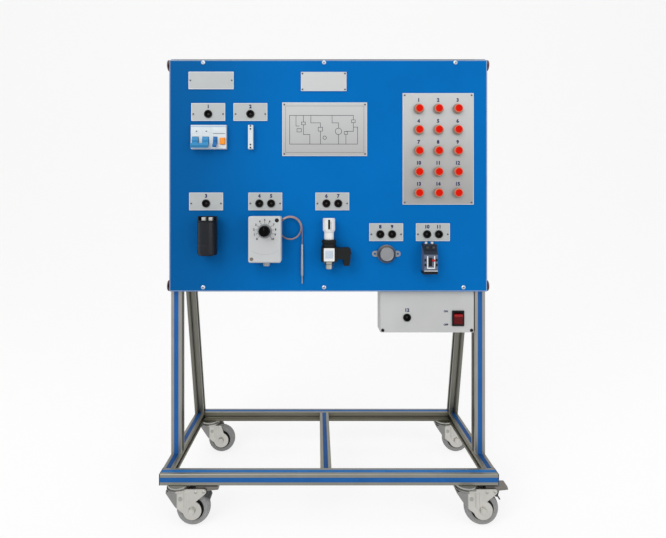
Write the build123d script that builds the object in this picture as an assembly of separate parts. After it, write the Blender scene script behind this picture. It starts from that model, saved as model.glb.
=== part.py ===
from build123d import *
import os
from math import acos, atan2, cos, degrees, pi, radians, sin, sqrt, tan

# Air conditioning fault trainer: a wheeled frame of slotted aluminium profile that carries a
# panel of refrigeration control parts, and a power box under the panel.
# Millimetres. X to the right, Y from the front to the back, Z up. The origin is on the floor,
# under the middle of the base.

# Slotted profile
profile = 20.0
profile_chamfer = 0.8
core_bore = 4.4
slot_mouth = 8.4
slot_mouth_depth = 0.9
slot_gap = 6.2
slot_lip = 1.0
slot_chamber = 11.2
slot_chamber_depth = 1.5
slot_floor = 5.8
slot_floor_depth = 5.8
strip_clearance = 0.1
cap_thickness = 1.5

# Base and uprights
base_width = 600.0
base_depth = 260.0
castor_height = 72.0
centre_rail_x = -5.0
post_front_y = -64.0
strut_foot_y = 104.0
strut_meet_height = 612.0
rail_above_panel_bottom = 8.0
rail_below_panel_top = 5.0

# Front panel and rear cover
panel_width = 600.0
panel_height = 437.0
panel_bottom_z = 404.0
panel_depth = 10.0
sheet = 1.5
cover_edge = 8.0
cover_side_gap = 1.0
cover_box_gap = 4.0
cover_box_side_gap = 6.0
cover_box_depth = 38.0
vent_length = 44.0
vent_width = 5.0
vent_pitch = 62.0
vent_count = 6
vent_inset = 40.0

# Fasteners
bolt_diameter = 4.0
bolt_clearance = 0.6
screw_diameter = 5.0
screw_head_diameter = 7.6
screw_head_height = 2.4
screw_engagement = 5.6
slot_nut_radius = 5.3
knob_diameter = 21.0
knob_thickness = 1.6
knob_collar_diameter = 8.0
knob_stand_off = 6.3
panel_screw_x = (-236.0, -8.0)
panel_screw_top_right_x = 240.0
panel_screw_bottom_right_x = 255.0
cover_screw_x = (-236.0, 0.0, 236.0)

# Castors
castor_x_left = -268.0
castor_x_front_right = 244.0
castor_x_rear_right = 271.0
wheel_diameter = 60.0
wheel_width = 19.0
tyre_inner_diameter = 40.0
tyre_shoulder = 3.5
rim_depth = 5.0
hub_diameter = 18.0
axle_diameter = 6.0
axle_clearance = 0.3
castor_trail = 27.0
fork_plate = 2.0
fork_clearance = 1.5
fork_disc_radius = 16.6
fork_web_foot = (-4.5, 38.5)
crown_radius = 20.5
crown_thickness = 5.1
race_radius = 18.8
race_thickness = 4.1
race_gap = 0.3
king_pin_diameter = 8.0
crown_clearance_over_wheel = 2.5
stud_diameter = 5.8
slot_nut_length = 10.0
brake_pivot = (20.5, 32.8)
brake_ear_radius = 4.6
brake_pin_diameter = 3.2
brake_gap = 2.0
pedal_reach = 45.5
pedal_top = 40.0
pedal_thickness = 5.6
pedal_width = 18.0
claw_radius = 8.0
claw_thickness = 1.9

# Plates on the panel: centre x, centre z, width, height
plate_thickness = 1.5
logo_plate = (-220.8, 802.0, 85.0, 33.0)
title_plate = (-8.6, 800.0, 86.0, 36.0)
diagram_plate = (-6.8, 710.0, 160.0, 101.0)
fault_plate = (207.0, 673.0, 134.0, 210.0)
signal_plate_size = (64.0, 33.5)
signal_plates = (
    (-226.2, 742.5, 1),
    (-146.7, 742.5, 1),
    (-230.2, 574.0, 1),
    (-118.7, 574.0, 2),
    (7.6, 574.0, 2),
    (109.1, 516.0, 2),
    (197.1, 516.0, 2),
)
socket_drop = 3.8
socket_pitch = 22.2

# Signal sockets
socket_flange_radius = 7.6
socket_flange = 1.6
socket_recess_radius = 6.0
socket_recess_depth = 5.0
socket_barrel_radius = 6.8
socket_barrel_depth = 12.5
hole_clearance = 0.2

# Fault push buttons
button_columns = 3
button_rows = 5
button_column_pitch = 36.7
button_row_pitch = 39.5
button_grid_centre = (207.0, 669.2)
button_cap_radius = 8.0
button_cap_thickness = 4.2
button_stem_radius = 5.0
button_stem_length = 14.0
button_travel = 2.6
button_stop_gap = 0.4
bezel_radius = 9.9
bezel_flange = 1.6
bezel_barrel_radius = 7.9
bezel_barrel_length = 16.0
running_gap = 0.3
contact_block = (17.0, 17.0, 20.0)

# Circuit breaker with residual current block, on its rail
breaker_centre = (-224.0, 694.5)
breaker_width = 66.0
breaker_pole_width = 38.0
breaker_nose_height = 45.0
breaker_body_height = 85.0
breaker_depth = 65.0
breaker_shoulder_depth = 44.0
breaker_nose_projection = 9.0
cutout_clearance = 0.4
handle_drum_radius = 7.5
handle_axis_drop = 6.5
handle_axis_depth = 3.4
handle_reach = 19.0
handle_thickness = 5.0
handle_swing = 84.0
handle_width = 11.6
handle_x = (-24.2, -5.0)
handle_gap = 0.4
rcd_handle_x = 13.0
rcd_handle_width = 6.8
test_button_x = 26.5
test_button_drop = 8.0
test_button_size = (9.4, 12.2)
test_button_projection = 3.0
test_button_travel = 1.5
test_button_length = 9.0
auxiliary_x = -145.5
auxiliary_width = 9.2

# Rail behind the panel with relays and terminals
din_rail_x = (-270.5, 84.0)
din_rail_height = 35.0
din_rail_depth = 7.5
din_rail_web_height = 25.0
din_rail_sheet = 1.0
stand_off_x = (-267.0, -166.0, 78.0)
stand_off_radius = 4.0
relay_count = 15
relay_pitch = 6.4
relay_size = (6.0, 50.0, 76.0)
relay_first_x = -66.0
terminal_count = 5
terminal_pitch = 6.4
terminal_size = (6.0, 36.0, 46.0)
terminal_first_x = 38.0

# Motor start capacitor
capacitor_x = -223.2
capacitor_bottom_z = 474.0
capacitor_diameter = 36.0
capacitor_length = 65.0
capacitor_stand_off = 1.6
capacitor_foot_radius = 4.0
shroud_height = 7.5
shroud_wall = 2.0
terminal_blade = (6.3, 0.8, 7.0)
terminal_spacing = 13.0
clip_width = 16.0
clip_height = 30.0

# Room thermostat with remote bulb
thermostat_centre = (-115.7, 504.8)
thermostat_size = (59.0, 84.0)
thermostat_depth = 40.0
thermostat_base_depth = 14.0
thermostat_base_inset = 2.4
thermostat_corner = 3.5
thermostat_edge = 2.0
thermostat_knob_centre = (-115.2, 520.0)
knob_ring_radius = 13.2
knob_ring_height = 2.2
thermostat_knob_radius = 10.0
thermostat_knob_height = 13.0
knob_flute_radius = 2.4
knob_flutes = 12
gland_radius = 6.5
gland_length = 11.8
gland_bore_radius = 4.0
capillary_diameter = 1.5
coil_centre = (-71.6, 524.2)
coil_inner_radius = 19.6
coil_outer_radius = 22.4
coil_turn_count = 3
coil_pitch = 2.0
coil_relief_width = 13.0
coil_relief_height = 37.0
bulb_diameter = 5.4
bulb_top_z = 494.3
bulb_length = 62.0
bulb_cone = 2.5
bulb_tail_diameter = 2.4
bulb_tail_length = 13.0

# Pressure switch
pressure_x = 1.0
pressure_nipple_bottom_z = 448.7
pressure_nipple_radius = 6.8
pressure_nipple_length = 9.4
pressure_hex_flats = 17.0
pressure_hex_height = 5.2
pressure_body_size = (30.0, 26.0)
pressure_body_height = 26.0
pressure_label_size = (19.4, 24.0)
pressure_label_proud = 1.4
pressure_ring_radius = 13.0
pressure_ring_height = 13.7
pressure_neck_radius = 8.9
pressure_neck_height = 14.0
pressure_cap_radius = 11.4
pressure_cap_height = 26.6
pressure_cap_taper = 3.0
pressure_window = (3.9, 18.0)
pressure_spindle_radius = 6.0
pressure_bracket_width = 20.0
plug_size = (24.4, 20.6)
plug_depth = 22.0
plug_leg_width = 12.0
plug_leg_length = 12.2
plug_cable_radius = 3.6

# Disc thermostat
disc_centre = (109.4, 475.3)
disc_radius = 17.3
disc_height = 12.0
disc_face_radius = 12.6
disc_skirt_height = 6.5
ear_span = 54.0
ear_width = 11.0
ear_thickness = 1.2
ear_hole_radius = 2.0

# Overload relay
relay_x = 188.0
relay_bottom_z = 439.5
overload_width = 25.0
overload_height = 55.5
overload_depth = 24.0
overload_step_depth = 18.0
overload_step_height = 13.0
overload_foot_height = 5.5
overload_foot_depth = 22.0
prong_radius = 2.3
prong_length = 3.5
prong_offset = 5.6
reset_button_offset = (4.4, 26.0)
reset_button_radius = 2.5
reset_button_projection = 2.5
reset_button_travel = 1.5
reset_button_length = 7.0

# Power box
power_box_width = 178.0
power_box_post_gap = 2.0
power_box_height = 78.0
power_box_depth = 42.0
power_box_sheet = 1.2
power_front_thickness = 2.0
power_socket = (150.6, 352.5)
rocker_centre = (247.9, 351.2)
rocker_bezel = (23.0, 29.4)
rocker_bezel_thickness = 2.0
rocker_opening = (16.6, 22.6)
rocker_body_depth = 16.0
rocker_radius = 13.4
rocker_axis_depth = 3.0
rocker_tilt = 9.0
rocker_gap = 0.3
box_screw_inset = 3.2
box_vent_count = 5
box_vent_pitch = 8.0
box_vent_rise = 22.0
box_vent_start = 24.0
box_vent_size = (60.0, 3.0)
inlet_size = (27.0, 20.0)
inlet_flange = (48.0, 24.0)
inlet_cavity = (23.0, 15.6)
inlet_cavity_depth = 14.0
inlet_pin_recess = 5.5
inlet_depth = 20.0
inlet_x = 247.0
supply_base_thickness = 1.6
supply_base_size = (110.0, 34.0)
transformer_size = (40.0, 30.0, 36.0)
reservoir_radius = 6.5
reservoir_height = 24.0
supply_post = 5.0

# Worked out from the sizes above
half_width = base_width / 2
half_profile = profile / 2
base_top_z = castor_height + profile
lower_rail_z = panel_bottom_z + rail_above_panel_bottom
upper_rail_z = panel_bottom_z + panel_height - rail_below_panel_top
post_top_z = upper_rail_z + half_profile - cap_thickness
post_x = half_width - half_profile
front_rail_y = -base_depth / 2 + half_profile
rear_rail_y = base_depth / 2 - half_profile
post_rear_y = post_front_y + profile
post_y = post_front_y + half_profile
base_mid_z = castor_height + half_profile
panel_front_y = post_front_y - panel_depth
panel_back_y = panel_front_y + sheet
plate_front_y = panel_front_y - plate_thickness
panel_mid_z = panel_bottom_z + panel_height / 2
rail_mid_z = (lower_rail_z + upper_rail_z) / 2
cover_width = base_width - 2 * profile - 2 * cover_side_gap
cover_height = upper_rail_z - lower_rail_z + 2 * cover_edge
cover_box_width = base_width - 2 * profile - 2 * cover_box_side_gap
cover_box_height = upper_rail_z - lower_rail_z - profile - 2 * cover_box_gap
slot_depth = slot_mouth_depth + slot_lip + slot_chamber_depth
nose_front_y = panel_front_y - breaker_nose_projection
rail_front_y = nose_front_y + breaker_depth
wheel_radius = wheel_diameter / 2
crown_bottom_z = wheel_diameter + crown_clearance_over_wheel
crown_top_z = crown_bottom_z + crown_thickness
fork_inner = wheel_width / 2 + fork_clearance
fork_outer = fork_inner + fork_plate
castor_places = {
    "fl": (castor_x_left, front_rail_y, True),
    "fr": (castor_x_front_right, front_rail_y, True),
    "rl": (castor_x_left, rear_rail_y, False),
    "rr": (castor_x_rear_right, rear_rail_y, False),
}


def box(x, y, z):
    """Box between two limits along each axis."""
    size = (x[1] - x[0], y[1] - y[0], z[1] - z[0])
    middle = ((x[0] + x[1]) / 2, (y[0] + y[1]) / 2, (z[0] + z[1]) / 2)
    return Pos(*middle) * Box(*size)


def rod(start, end, radius):
    """Round rod from start to end."""
    axis = Vector(*end) - Vector(*start)
    plane = Plane(origin=start, z_dir=axis)
    return extrude(plane * Circle(radius), axis.length)


def turned(origin, direction, outline):
    """Solid of revolution; outline gives radius and height along the direction."""
    face = make_face(Polyline([(radius, 0, height) for radius, height in outline], close=True))
    solid = revolve(face, axis=Axis.Z)
    return Plane(origin=origin, z_dir=direction).location * solid


def block(centre_x, centre_z, width, height, front_y, back_y, corner=0.0):
    """Upright block with its face to the front, with rounded corners where asked."""
    face = RectangleRounded(width, height, corner) if corner else Rectangle(width, height)
    plane = Plane(origin=(centre_x, back_y, centre_z), x_dir=(1, 0, 0), z_dir=(0, -1, 0))
    return extrude(plane * face, back_y - front_y)


def side_outline(points, x_from, x_to):
    """Solid with an outline in Y and Z, drawn out along X."""
    face = make_face(Polyline([(x_from, y, z) for y, z in points], close=True))
    return extrude(face, x_to - x_from, dir=(1, 0, 0))


def slot_face():
    """Opening of one slot, cut from the +Y side of the section."""
    lip = half_profile - slot_mouth_depth
    under_lip = lip - slot_lip
    shoulder = under_lip - slot_chamber_depth
    floor = half_profile - slot_floor_depth
    right = [
        (slot_mouth / 2, half_profile + 1),
        (slot_mouth / 2, lip),
        (slot_gap / 2, lip),
        (slot_gap / 2, under_lip),
        (slot_chamber / 2, under_lip),
        (slot_chamber / 2, shoulder),
        (slot_floor / 2, floor),
    ]
    left = [(-x, y) for x, y in reversed(right)]
    return make_face(Polyline(right + left, close=True))


def profile_section():
    """Cross section of the slotted profile."""
    edge = half_profile
    inner = edge - profile_chamfer
    corners = [
        (inner, edge), (-inner, edge), (-edge, inner), (-edge, -inner),
        (-inner, -edge), (inner, -edge), (edge, -inner), (edge, inner),
    ]
    section = make_face(Polyline(corners, close=True)) - Circle(core_bore / 2)
    for turn in range(4):
        section -= Rot(0, 0, 90 * turn) * slot_face()
    return section


def bar(start, end, side):
    """Length of profile from start to end, with a face towards side."""
    axis = Vector(*end) - Vector(*start)
    plane = Plane(origin=start, x_dir=side, z_dir=axis)
    return extrude(plane * profile_section(), axis.length)


def cover_strip(start, end, outward):
    """Plastic strip pressed into a slot; start and end lie on the profile's centre line."""
    wide = slot_mouth / 2 - strip_clearance
    narrow = slot_gap / 2 - strip_clearance
    lip = half_profile - slot_mouth_depth
    foot = lip - slot_lip
    outline = [
        (wide, half_profile), (-wide, half_profile), (-wide, lip), (-narrow, lip),
        (-narrow, foot), (narrow, foot), (narrow, lip), (wide, lip),
    ]
    axis = Vector(*end) - Vector(*start)
    across = Vector(*outward).cross(axis)
    plane = Plane(origin=start, x_dir=across, z_dir=axis)
    return extrude(plane * make_face(Polyline(outline, close=True)), axis.length)


def end_cap(centre, outward):
    """Square cap over the cut end of a profile, with a pin in its bore."""
    plane = Plane(origin=centre, x_dir=(0, 0, 1) if abs(outward[2]) < 0.5 else (1, 0, 0),
                  z_dir=outward)
    lid = extrude(plane * Rectangle(profile - 0.4, profile - 0.4), cap_thickness)
    pin = extrude(plane * Circle(core_bore / 2 - 0.1), -5)
    return lid + pin


def cross_hole(member, point, axis):
    """Member with a bolt hole right through its core at a point."""
    reach = Vector(*axis) * (half_profile + 1)
    centre = Vector(*point)
    return member - rod(tuple(centre - reach), tuple(centre + reach),
                        (bolt_diameter + bolt_clearance) / 2)


def end_bolt(seat, axis):
    """Bolt whose head sits on a profile's core and whose shank runs into the next bar's bore."""
    head = [(0, -2.6), (2.9, -2.6), (2.9, 0), (bolt_diameter / 2, 0), (bolt_diameter / 2, 22), (0, 22)]
    return turned(seat, axis, head)


def base_rails():
    """Front and rear rails, two side rails and the centre rail."""
    inside_front = front_rail_y + half_profile
    inside_rear = rear_rail_y - half_profile
    front = bar((-half_width + cap_thickness, front_rail_y, base_mid_z),
                (half_width - cap_thickness, front_rail_y, base_mid_z), (0, 0, 1))
    rear = bar((-half_width + profile, rear_rail_y, base_mid_z),
               (half_width - profile, rear_rail_y, base_mid_z), (0, 0, 1))
    centre = bar((centre_rail_x, inside_front, base_mid_z),
                 (centre_rail_x, inside_rear, base_mid_z), (0, 0, 1))
    sides = []
    for x in (-post_x, post_x):
        side = bar((x, inside_front, base_mid_z),
                   (x, base_depth / 2 - cap_thickness, base_mid_z), (0, 0, 1))
        side = cross_hole(side, (x, post_y, base_mid_z), (0, 0, 1))
        side = cross_hole(side, (x, rear_rail_y, base_mid_z), (1, 0, 0))
        front = cross_hole(front, (x, front_rail_y, base_mid_z), (0, 1, 0))
        sides.append(side)
    front = cross_hole(front, (centre_rail_x, front_rail_y, base_mid_z), (0, 1, 0))
    rear = cross_hole(rear, (centre_rail_x, rear_rail_y, base_mid_z), (0, 1, 0))
    return [front, rear, centre] + sides


def posts():
    """Two upright posts, standing on the side rails."""
    made = []
    for x in (-post_x, post_x):
        post = bar((x, post_y, base_top_z), (x, post_y, post_top_z), (1, 0, 0))
        for z in (lower_rail_z, upper_rail_z):
            post = cross_hole(post, (x, post_y, z), (1, 0, 0))
        made.append(post)
    return made


def struts():
    """Two slanted struts, cut level at the foot and upright against the post."""
    lean = atan2(strut_foot_y - post_rear_y, strut_meet_height)
    direction = (0, -sin(lean), cos(lean))
    foot_y = strut_foot_y + half_profile / cos(lean)
    length = strut_meet_height / cos(lean) + 6 * profile
    made = []
    for x in (-post_x, post_x):
        start = Vector(x, foot_y, base_top_z) - Vector(*direction) * 2 * profile
        end = start + Vector(*direction) * length
        strut = bar(tuple(start), tuple(end), (1, 0, 0))
        strut -= box((x - profile, x + profile), (0, base_depth), (0, base_top_z))
        strut -= box((x - profile, x + profile), (-base_depth, post_rear_y),
                     (base_top_z, post_top_z + 4 * profile))
        made.append(strut)
    return made


def cross_rails():
    """Lower and upper rails between the posts, behind the panel."""
    reach = half_width - profile
    return [bar((-reach, post_y, z), (reach, post_y, z), (0, 0, 1)) for z in (lower_rail_z, upper_rail_z)]


def cover_strips():
    """Strips in the slots that face forward and up."""
    inside_front = front_rail_y + half_profile
    inside_rear = rear_rail_y - half_profile
    left = (-half_width + cap_thickness, front_rail_y, base_mid_z)
    right = (half_width - cap_thickness, front_rail_y, base_mid_z)
    strips = [cover_strip(left, right, (0, -1, 0)), cover_strip(left, right, (0, 0, 1))]
    strips.append(cover_strip((-half_width + profile, rear_rail_y, base_mid_z),
                              (half_width - profile, rear_rail_y, base_mid_z), (0, 0, 1)))
    strips.append(cover_strip((centre_rail_x, inside_front, base_mid_z),
                              (centre_rail_x, inside_rear, base_mid_z), (0, 0, 1)))
    for x in (-post_x, post_x):
        back = base_depth / 2 - cap_thickness
        for start, end in ((inside_front, post_front_y), (post_rear_y, back)):
            strips.append(cover_strip((x, start, base_mid_z), (x, end, base_mid_z), (0, 0, 1)))
        outward = (1, 0, 0) if x > 0 else (-1, 0, 0)
        strips.append(cover_strip((x, inside_front, base_mid_z), (x, back, base_mid_z), outward))
        strips.append(cover_strip((x, post_y, base_top_z), (x, post_y, post_top_z), (0, -1, 0)))
    return strips


def end_caps():
    """Caps on the free ends of the front rail, the side rails and the posts."""
    caps = []
    for side in (-1, 1):
        end = side * (half_width - cap_thickness)
        caps.append(end_cap((end, front_rail_y, base_mid_z), (side, 0, 0)))
        caps.append(end_cap((side * post_x, base_depth / 2 - cap_thickness, base_mid_z), (0, 1, 0)))
        caps.append(end_cap((side * post_x, post_y, post_top_z), (0, 0, 1)))
    return caps


def frame_bolts():
    """Bolts inside the frame's joints and the four side knobs of the cross rails."""
    core = half_profile - slot_floor_depth
    bolts = []
    for x in (-post_x, post_x):
        bolts.append(end_bolt((x, post_y, base_mid_z - core), (0, 0, 1)))
        bolts.append(end_bolt((x, front_rail_y - core, base_mid_z), (0, 1, 0)))
        side = 1 if x > 0 else -1
        bolts.append(end_bolt((x + side * core, rear_rail_y, base_mid_z), (-side, 0, 0)))
        for z in (lower_rail_z, upper_rail_z):
            grip = knob_diameter / 2
            shank = bolt_diameter / 2
            collar = knob_collar_diameter / 2
            rim = knob_stand_off + knob_thickness
            outline = [
                (0, rim), (grip - 0.5, rim), (grip, rim - 0.5), (grip, knob_stand_off),
                (collar, knob_stand_off), (collar, 0), (shank, 0), (shank, -profile - 14),
                (0, -profile - 14),
            ]
            bolts.append(turned((side * half_width, post_y, z), (side, 0, 0), outline[::-1]))
    bolts.append(end_bolt((centre_rail_x, front_rail_y - core, base_mid_z), (0, 1, 0)))
    bolts.append(end_bolt((centre_rail_x, rear_rail_y + core, base_mid_z), (0, -1, 0)))
    return bolts


def castor_race(x, y):
    """Fixed upper race of a castor with its king pin, stud and slot nut."""
    pin = king_pin_diameter / 2
    nut = pin + 3
    top = castor_height
    outline = [
        (0, crown_bottom_z - 3.6), (nut, crown_bottom_z - 3.6), (nut, crown_bottom_z - race_gap),
        (pin, crown_bottom_z - race_gap), (pin, crown_top_z + race_gap),
        (race_radius - 2, crown_top_z + race_gap), (race_radius, crown_top_z + race_gap + 1.2),
        (race_radius, top), (stud_diameter / 2, top), (stud_diameter / 2, top + slot_depth + 1.2),
        (0, top + slot_depth + 1.2),
    ]
    race = turned((x, y, 0), (0, 0, 1), outline)
    lips = top + slot_mouth_depth + slot_lip
    nut_half = slot_chamber / 2 - 0.3
    race += box((x - slot_nut_length / 2, x + slot_nut_length / 2), (y - nut_half, y + nut_half),
                (lips, lips + slot_chamber_depth - 0.1))
    return race


def on_hub_disc(angle):
    """Point on the rim of a fork's round foot, at an angle in degrees."""
    return (castor_trail + fork_disc_radius * cos(radians(angle)),
            wheel_radius + fork_disc_radius * sin(radians(angle)))


def fork_side(braked):
    """Outline of a fork's side plate in X and Z, from the swivel axis and the floor."""
    left = on_hub_disc(197)
    right = on_hub_disc(67)
    top = crown_bottom_z + 0.6
    front = 1.0 - crown_radius
    foot_x, foot_z = fork_web_foot
    if braked:
        ear_x = castor_trail + brake_pivot[0]
        ear_z = wheel_radius + brake_pivot[1]
        ear_top = ear_z + brake_ear_radius
        upper = [right, (ear_x + 2.4, ear_z - brake_ear_radius + 0.6), (ear_x + 4.0, ear_z - 2.0),
                 (ear_x + brake_ear_radius, ear_z), (ear_x + 3.6, ear_z + 2.8), (ear_x + 1.4, ear_top),
                 (14, ear_top), (12, top)]
    else:
        upper = [right, (castor_trail + 0.8, crown_bottom_z - 2), (castor_trail - 2, top)]
    upper += [(front + 4, top), (front, crown_bottom_z - 1.8), (foot_x, foot_z), (foot_x + 2.5, foot_z - 3.2), left]
    arc = ThreePointArc(left, on_hub_disc(-50), right)
    return make_face([Polyline(upper).edges(), arc.edges()])


def fork_web():
    """Sheet that joins a fork's side plates in front of the wheel."""
    front = 1.0 - crown_radius
    foot_x, foot_z = fork_web_foot
    across = Vector(crown_bottom_z - 1.8 - foot_z, foot_x - front).normalized() * fork_plate
    inner_foot = (foot_x + across.X, 0, foot_z + across.Y)
    outline = [
        (front, 0, crown_bottom_z + 1), (front, 0, crown_bottom_z - 1.8), (foot_x, 0, foot_z), inner_foot,
        (front + fork_plate + 0.4, 0, crown_bottom_z - 1), (front + fork_plate + 0.4, 0, crown_bottom_z + 1),
    ]
    return extrude(make_face(Polyline(outline, close=True)), fork_inner + 0.5, both=True)


def castor_fork(x, y, braked):
    """Swivelling fork pressed from one sheet, and its axle bolt."""
    axle = (castor_trail, wheel_radius)
    upright = Plane(origin=(0, 0, 0), x_dir=(1, 0, 0), z_dir=(0, -1, 0))
    side = extrude(upright * fork_side(braked), fork_plate)
    side -= rod((axle[0], 1, axle[1]), (axle[0], -fork_plate - 1, axle[1]), axle_diameter / 2 + 0.1)
    near = Pos(0, -fork_inner, 0) * side
    far = Pos(0, fork_inner + fork_plate, 0) * side
    pin = king_pin_diameter / 2 + race_gap
    crown = turned((0, 0, 0), (0, 0, 1), [
        (pin, crown_bottom_z), (crown_radius - 5, crown_bottom_z),
        (crown_radius - 1.2, crown_bottom_z + 1.1), (crown_radius, crown_bottom_z + 2.6),
        (crown_radius, crown_top_z - 1.2), (crown_radius - 3, crown_top_z), (pin, crown_top_z),
    ])
    fork = crown + near + far + fork_web()
    if braked:
        pivot = (axle[0] + brake_pivot[0], axle[1] + brake_pivot[1])
        fork += rod((pivot[0], -fork_outer - 1, pivot[1]), (pivot[0], fork_outer + 1, pivot[1]),
                    brake_pin_diameter / 2)
    head = RegularPolygon(5.6, 6)
    shank = rod((axle[0], -fork_outer - 4, axle[1]), (axle[0], fork_outer + 5, axle[1]), axle_diameter / 2)
    bolt = shank + extrude(Plane(origin=(axle[0], -fork_outer, axle[1]), z_dir=(0, -1, 0)) * head, 3.6)
    bolt += extrude(Plane(origin=(axle[0], fork_outer, axle[1]), z_dir=(0, 1, 0)) * head, 3.6)
    return [Pos(x, y, 0) * fork, Pos(x, y, 0) * bolt]


def castor_wheel(x, y):
    """Tyre and hub of one castor."""
    half = wheel_width / 2
    inner = tyre_inner_diameter / 2
    shoulder = wheel_radius - tyre_shoulder
    seat = half - 1.5
    side = Polyline([(shoulder, 0, -half), (inner, 0, -seat), (inner, 0, seat), (shoulder, 0, half)])
    tread = ThreePointArc((shoulder, 0, half), (wheel_radius, 0, 0), (shoulder, 0, -half))
    tyre = revolve(make_face([side.edges(), tread.edges()]), axis=Axis.Z)
    bore = axle_diameter / 2 + axle_clearance
    hub_half = half + fork_clearance - running_gap
    hub = hub_diameter / 2
    rim = inner - 3
    web = seat - rim_depth
    outline = [
        (bore, hub_half), (hub, hub_half), (hub, web), (rim, web), (rim, seat), (inner, seat),
    ]
    outline += [(radius, -height) for radius, height in reversed(outline)]
    core = turned((0, 0, 0), (0, 0, 1), outline)
    place = Plane(origin=(x + castor_trail, y, wheel_radius), z_dir=(0, 1, 0)).location
    return [place * tyre, place * core]


def brake_pedal(x, y):
    """Brake lever with its shoe over the tyre and its curled claw."""
    radius = wheel_radius + brake_gap
    start_angle = radians(80)
    middle_angle = radians(61)
    end_angle = radians(42)
    start = (radius * cos(start_angle), radius * sin(start_angle))
    middle = (radius * cos(middle_angle), radius * sin(middle_angle))
    end = (radius * cos(end_angle), radius * sin(end_angle))
    foot = pedal_top - pedal_thickness
    upper = Polyline([end, (end[0] + 3.2, end[1] + 1.0), (pedal_reach - 16, foot - 1.8),
                      (pedal_reach, foot), (pedal_reach - 1.4, pedal_top), (start[0], pedal_top), start])
    shoe = ThreePointArc(start, middle, end)
    body = make_face([upper.edges(), shoe.edges()])
    claw_centre = (end[0] - 0.5, end[1] - 5.0)
    ring = Circle(claw_radius) - Circle(claw_radius - claw_thickness)
    ring = Pos(*claw_centre) * ring
    window = Pos(claw_centre[0] + 5, claw_centre[1] + 4.2) * Rectangle(9, 7.6)
    body += ring & window
    upright = Plane(origin=(0, 0, 0), x_dir=(1, 0, 0), z_dir=(0, -1, 0))
    lever = extrude(upright * body, pedal_width / 2, both=True)
    pin = brake_pin_diameter / 2 + running_gap
    lever -= rod((brake_pivot[0], -pedal_width, brake_pivot[1]),
                 (brake_pivot[0], pedal_width, brake_pivot[1]), pin)
    return Pos(x + castor_trail, y, wheel_radius) * lever


def socket_places():
    """Centre of each signal socket on the panel."""
    places = []
    for x, z, count in signal_plates:
        first = x - socket_pitch * (count - 1) / 2
        for index in range(count):
            places.append((first + socket_pitch * index, z - socket_drop))
    return places


def button_places():
    """Centre of each fault button, row by row from the top left."""
    places = []
    for row in range(button_rows):
        for column in range(button_columns):
            x = button_grid_centre[0] + (column - (button_columns - 1) / 2) * button_column_pitch
            z = button_grid_centre[1] - (row - (button_rows - 1) / 2) * button_row_pitch
            places.append((x, z))
    return places


def panel_screw_places():
    """Centre of each screw that holds the panel to the cross rails."""
    places = [(x, z) for x in panel_screw_x for z in (lower_rail_z, upper_rail_z)]
    places.append((panel_screw_bottom_right_x, lower_rail_z))
    places.append((panel_screw_top_right_x, upper_rail_z))
    return places


def drill(solid, places, radius, front_y, back_y):
    """Solid with a round hole at each place."""
    for x, z in places:
        solid -= rod((x, front_y - 1, z), (x, back_y + 1, z), radius)
    return solid


def breaker_cutouts(clearance):
    """Openings for the breaker's nose and the auxiliary contact's nose."""
    depth = (panel_front_y - 1, panel_back_y + 1)
    x, z = breaker_centre
    height = breaker_nose_height + 2 * clearance
    nose = block(x, z, breaker_width + 2 * clearance, height, *depth)
    slim = block(auxiliary_x, z, auxiliary_width + 2 * clearance, height, *depth)
    return [nose, slim]


def front_panel():
    """Sheet panel with folded edges, and its cut-outs."""
    solid = block(0, panel_mid_z, panel_width, panel_height, panel_front_y, post_front_y, 2.0)
    inside = (panel_width - 2 * sheet, panel_height - 2 * sheet)
    solid -= block(0, panel_mid_z, inside[0], inside[1], panel_back_y, post_front_y + 1)
    solid = drill(solid, socket_places(), socket_barrel_radius + hole_clearance,
                  panel_front_y, panel_back_y)
    solid = drill(solid, button_places(), bezel_barrel_radius + hole_clearance,
                  panel_front_y, panel_back_y)
    solid = drill(solid, panel_screw_places(), screw_diameter / 2 + hole_clearance,
                  panel_front_y, panel_back_y)
    for cutout in breaker_cutouts(cutout_clearance):
        solid -= cutout
    return solid


def rear_cover():
    """Sheet cover behind the panel, with a pressed-out box and vents."""
    front = post_rear_y
    back = front + sheet
    box_back = front + cover_box_depth
    solid = block(0, rail_mid_z, cover_width, cover_height, front, back, 2.0)
    solid += block(0, rail_mid_z, cover_box_width, cover_box_height, front, box_back, 6.0)
    solid -= block(0, rail_mid_z, cover_box_width - 2 * sheet, cover_box_height - 2 * sheet,
                   front - 1, box_back - sheet, 4.5)
    for row in (-1, 1):
        z = rail_mid_z + row * (cover_box_height / 2 - vent_inset)
        for index in range(vent_count):
            x = (index - (vent_count - 1) / 2) * vent_pitch
            plane = Plane(origin=(x, box_back + 1, z), x_dir=(1, 0, 0), z_dir=(0, -1, 0))
            solid -= extrude(plane * SlotOverall(vent_length, vent_width), sheet + 2)
    places = [(x, z) for x in cover_screw_x for z in (lower_rail_z, upper_rail_z)]
    return drill(solid, places, screw_diameter / 2 + hole_clearance, front, back)


def screw_end(grip):
    """Outline of a screw's shank and slot nut behind what it holds, of the given thickness."""
    shank = screw_diameter / 2
    reach = grip + screw_engagement
    nut_front = grip + slot_mouth_depth + slot_lip
    nut_back = nut_front + slot_chamber_depth - 0.1
    return [(0, -reach), (shank, -reach), (shank, -nut_back), (slot_nut_radius, -nut_back),
            (slot_nut_radius, -nut_front), (shank, -nut_front), (shank, 0)]


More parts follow.
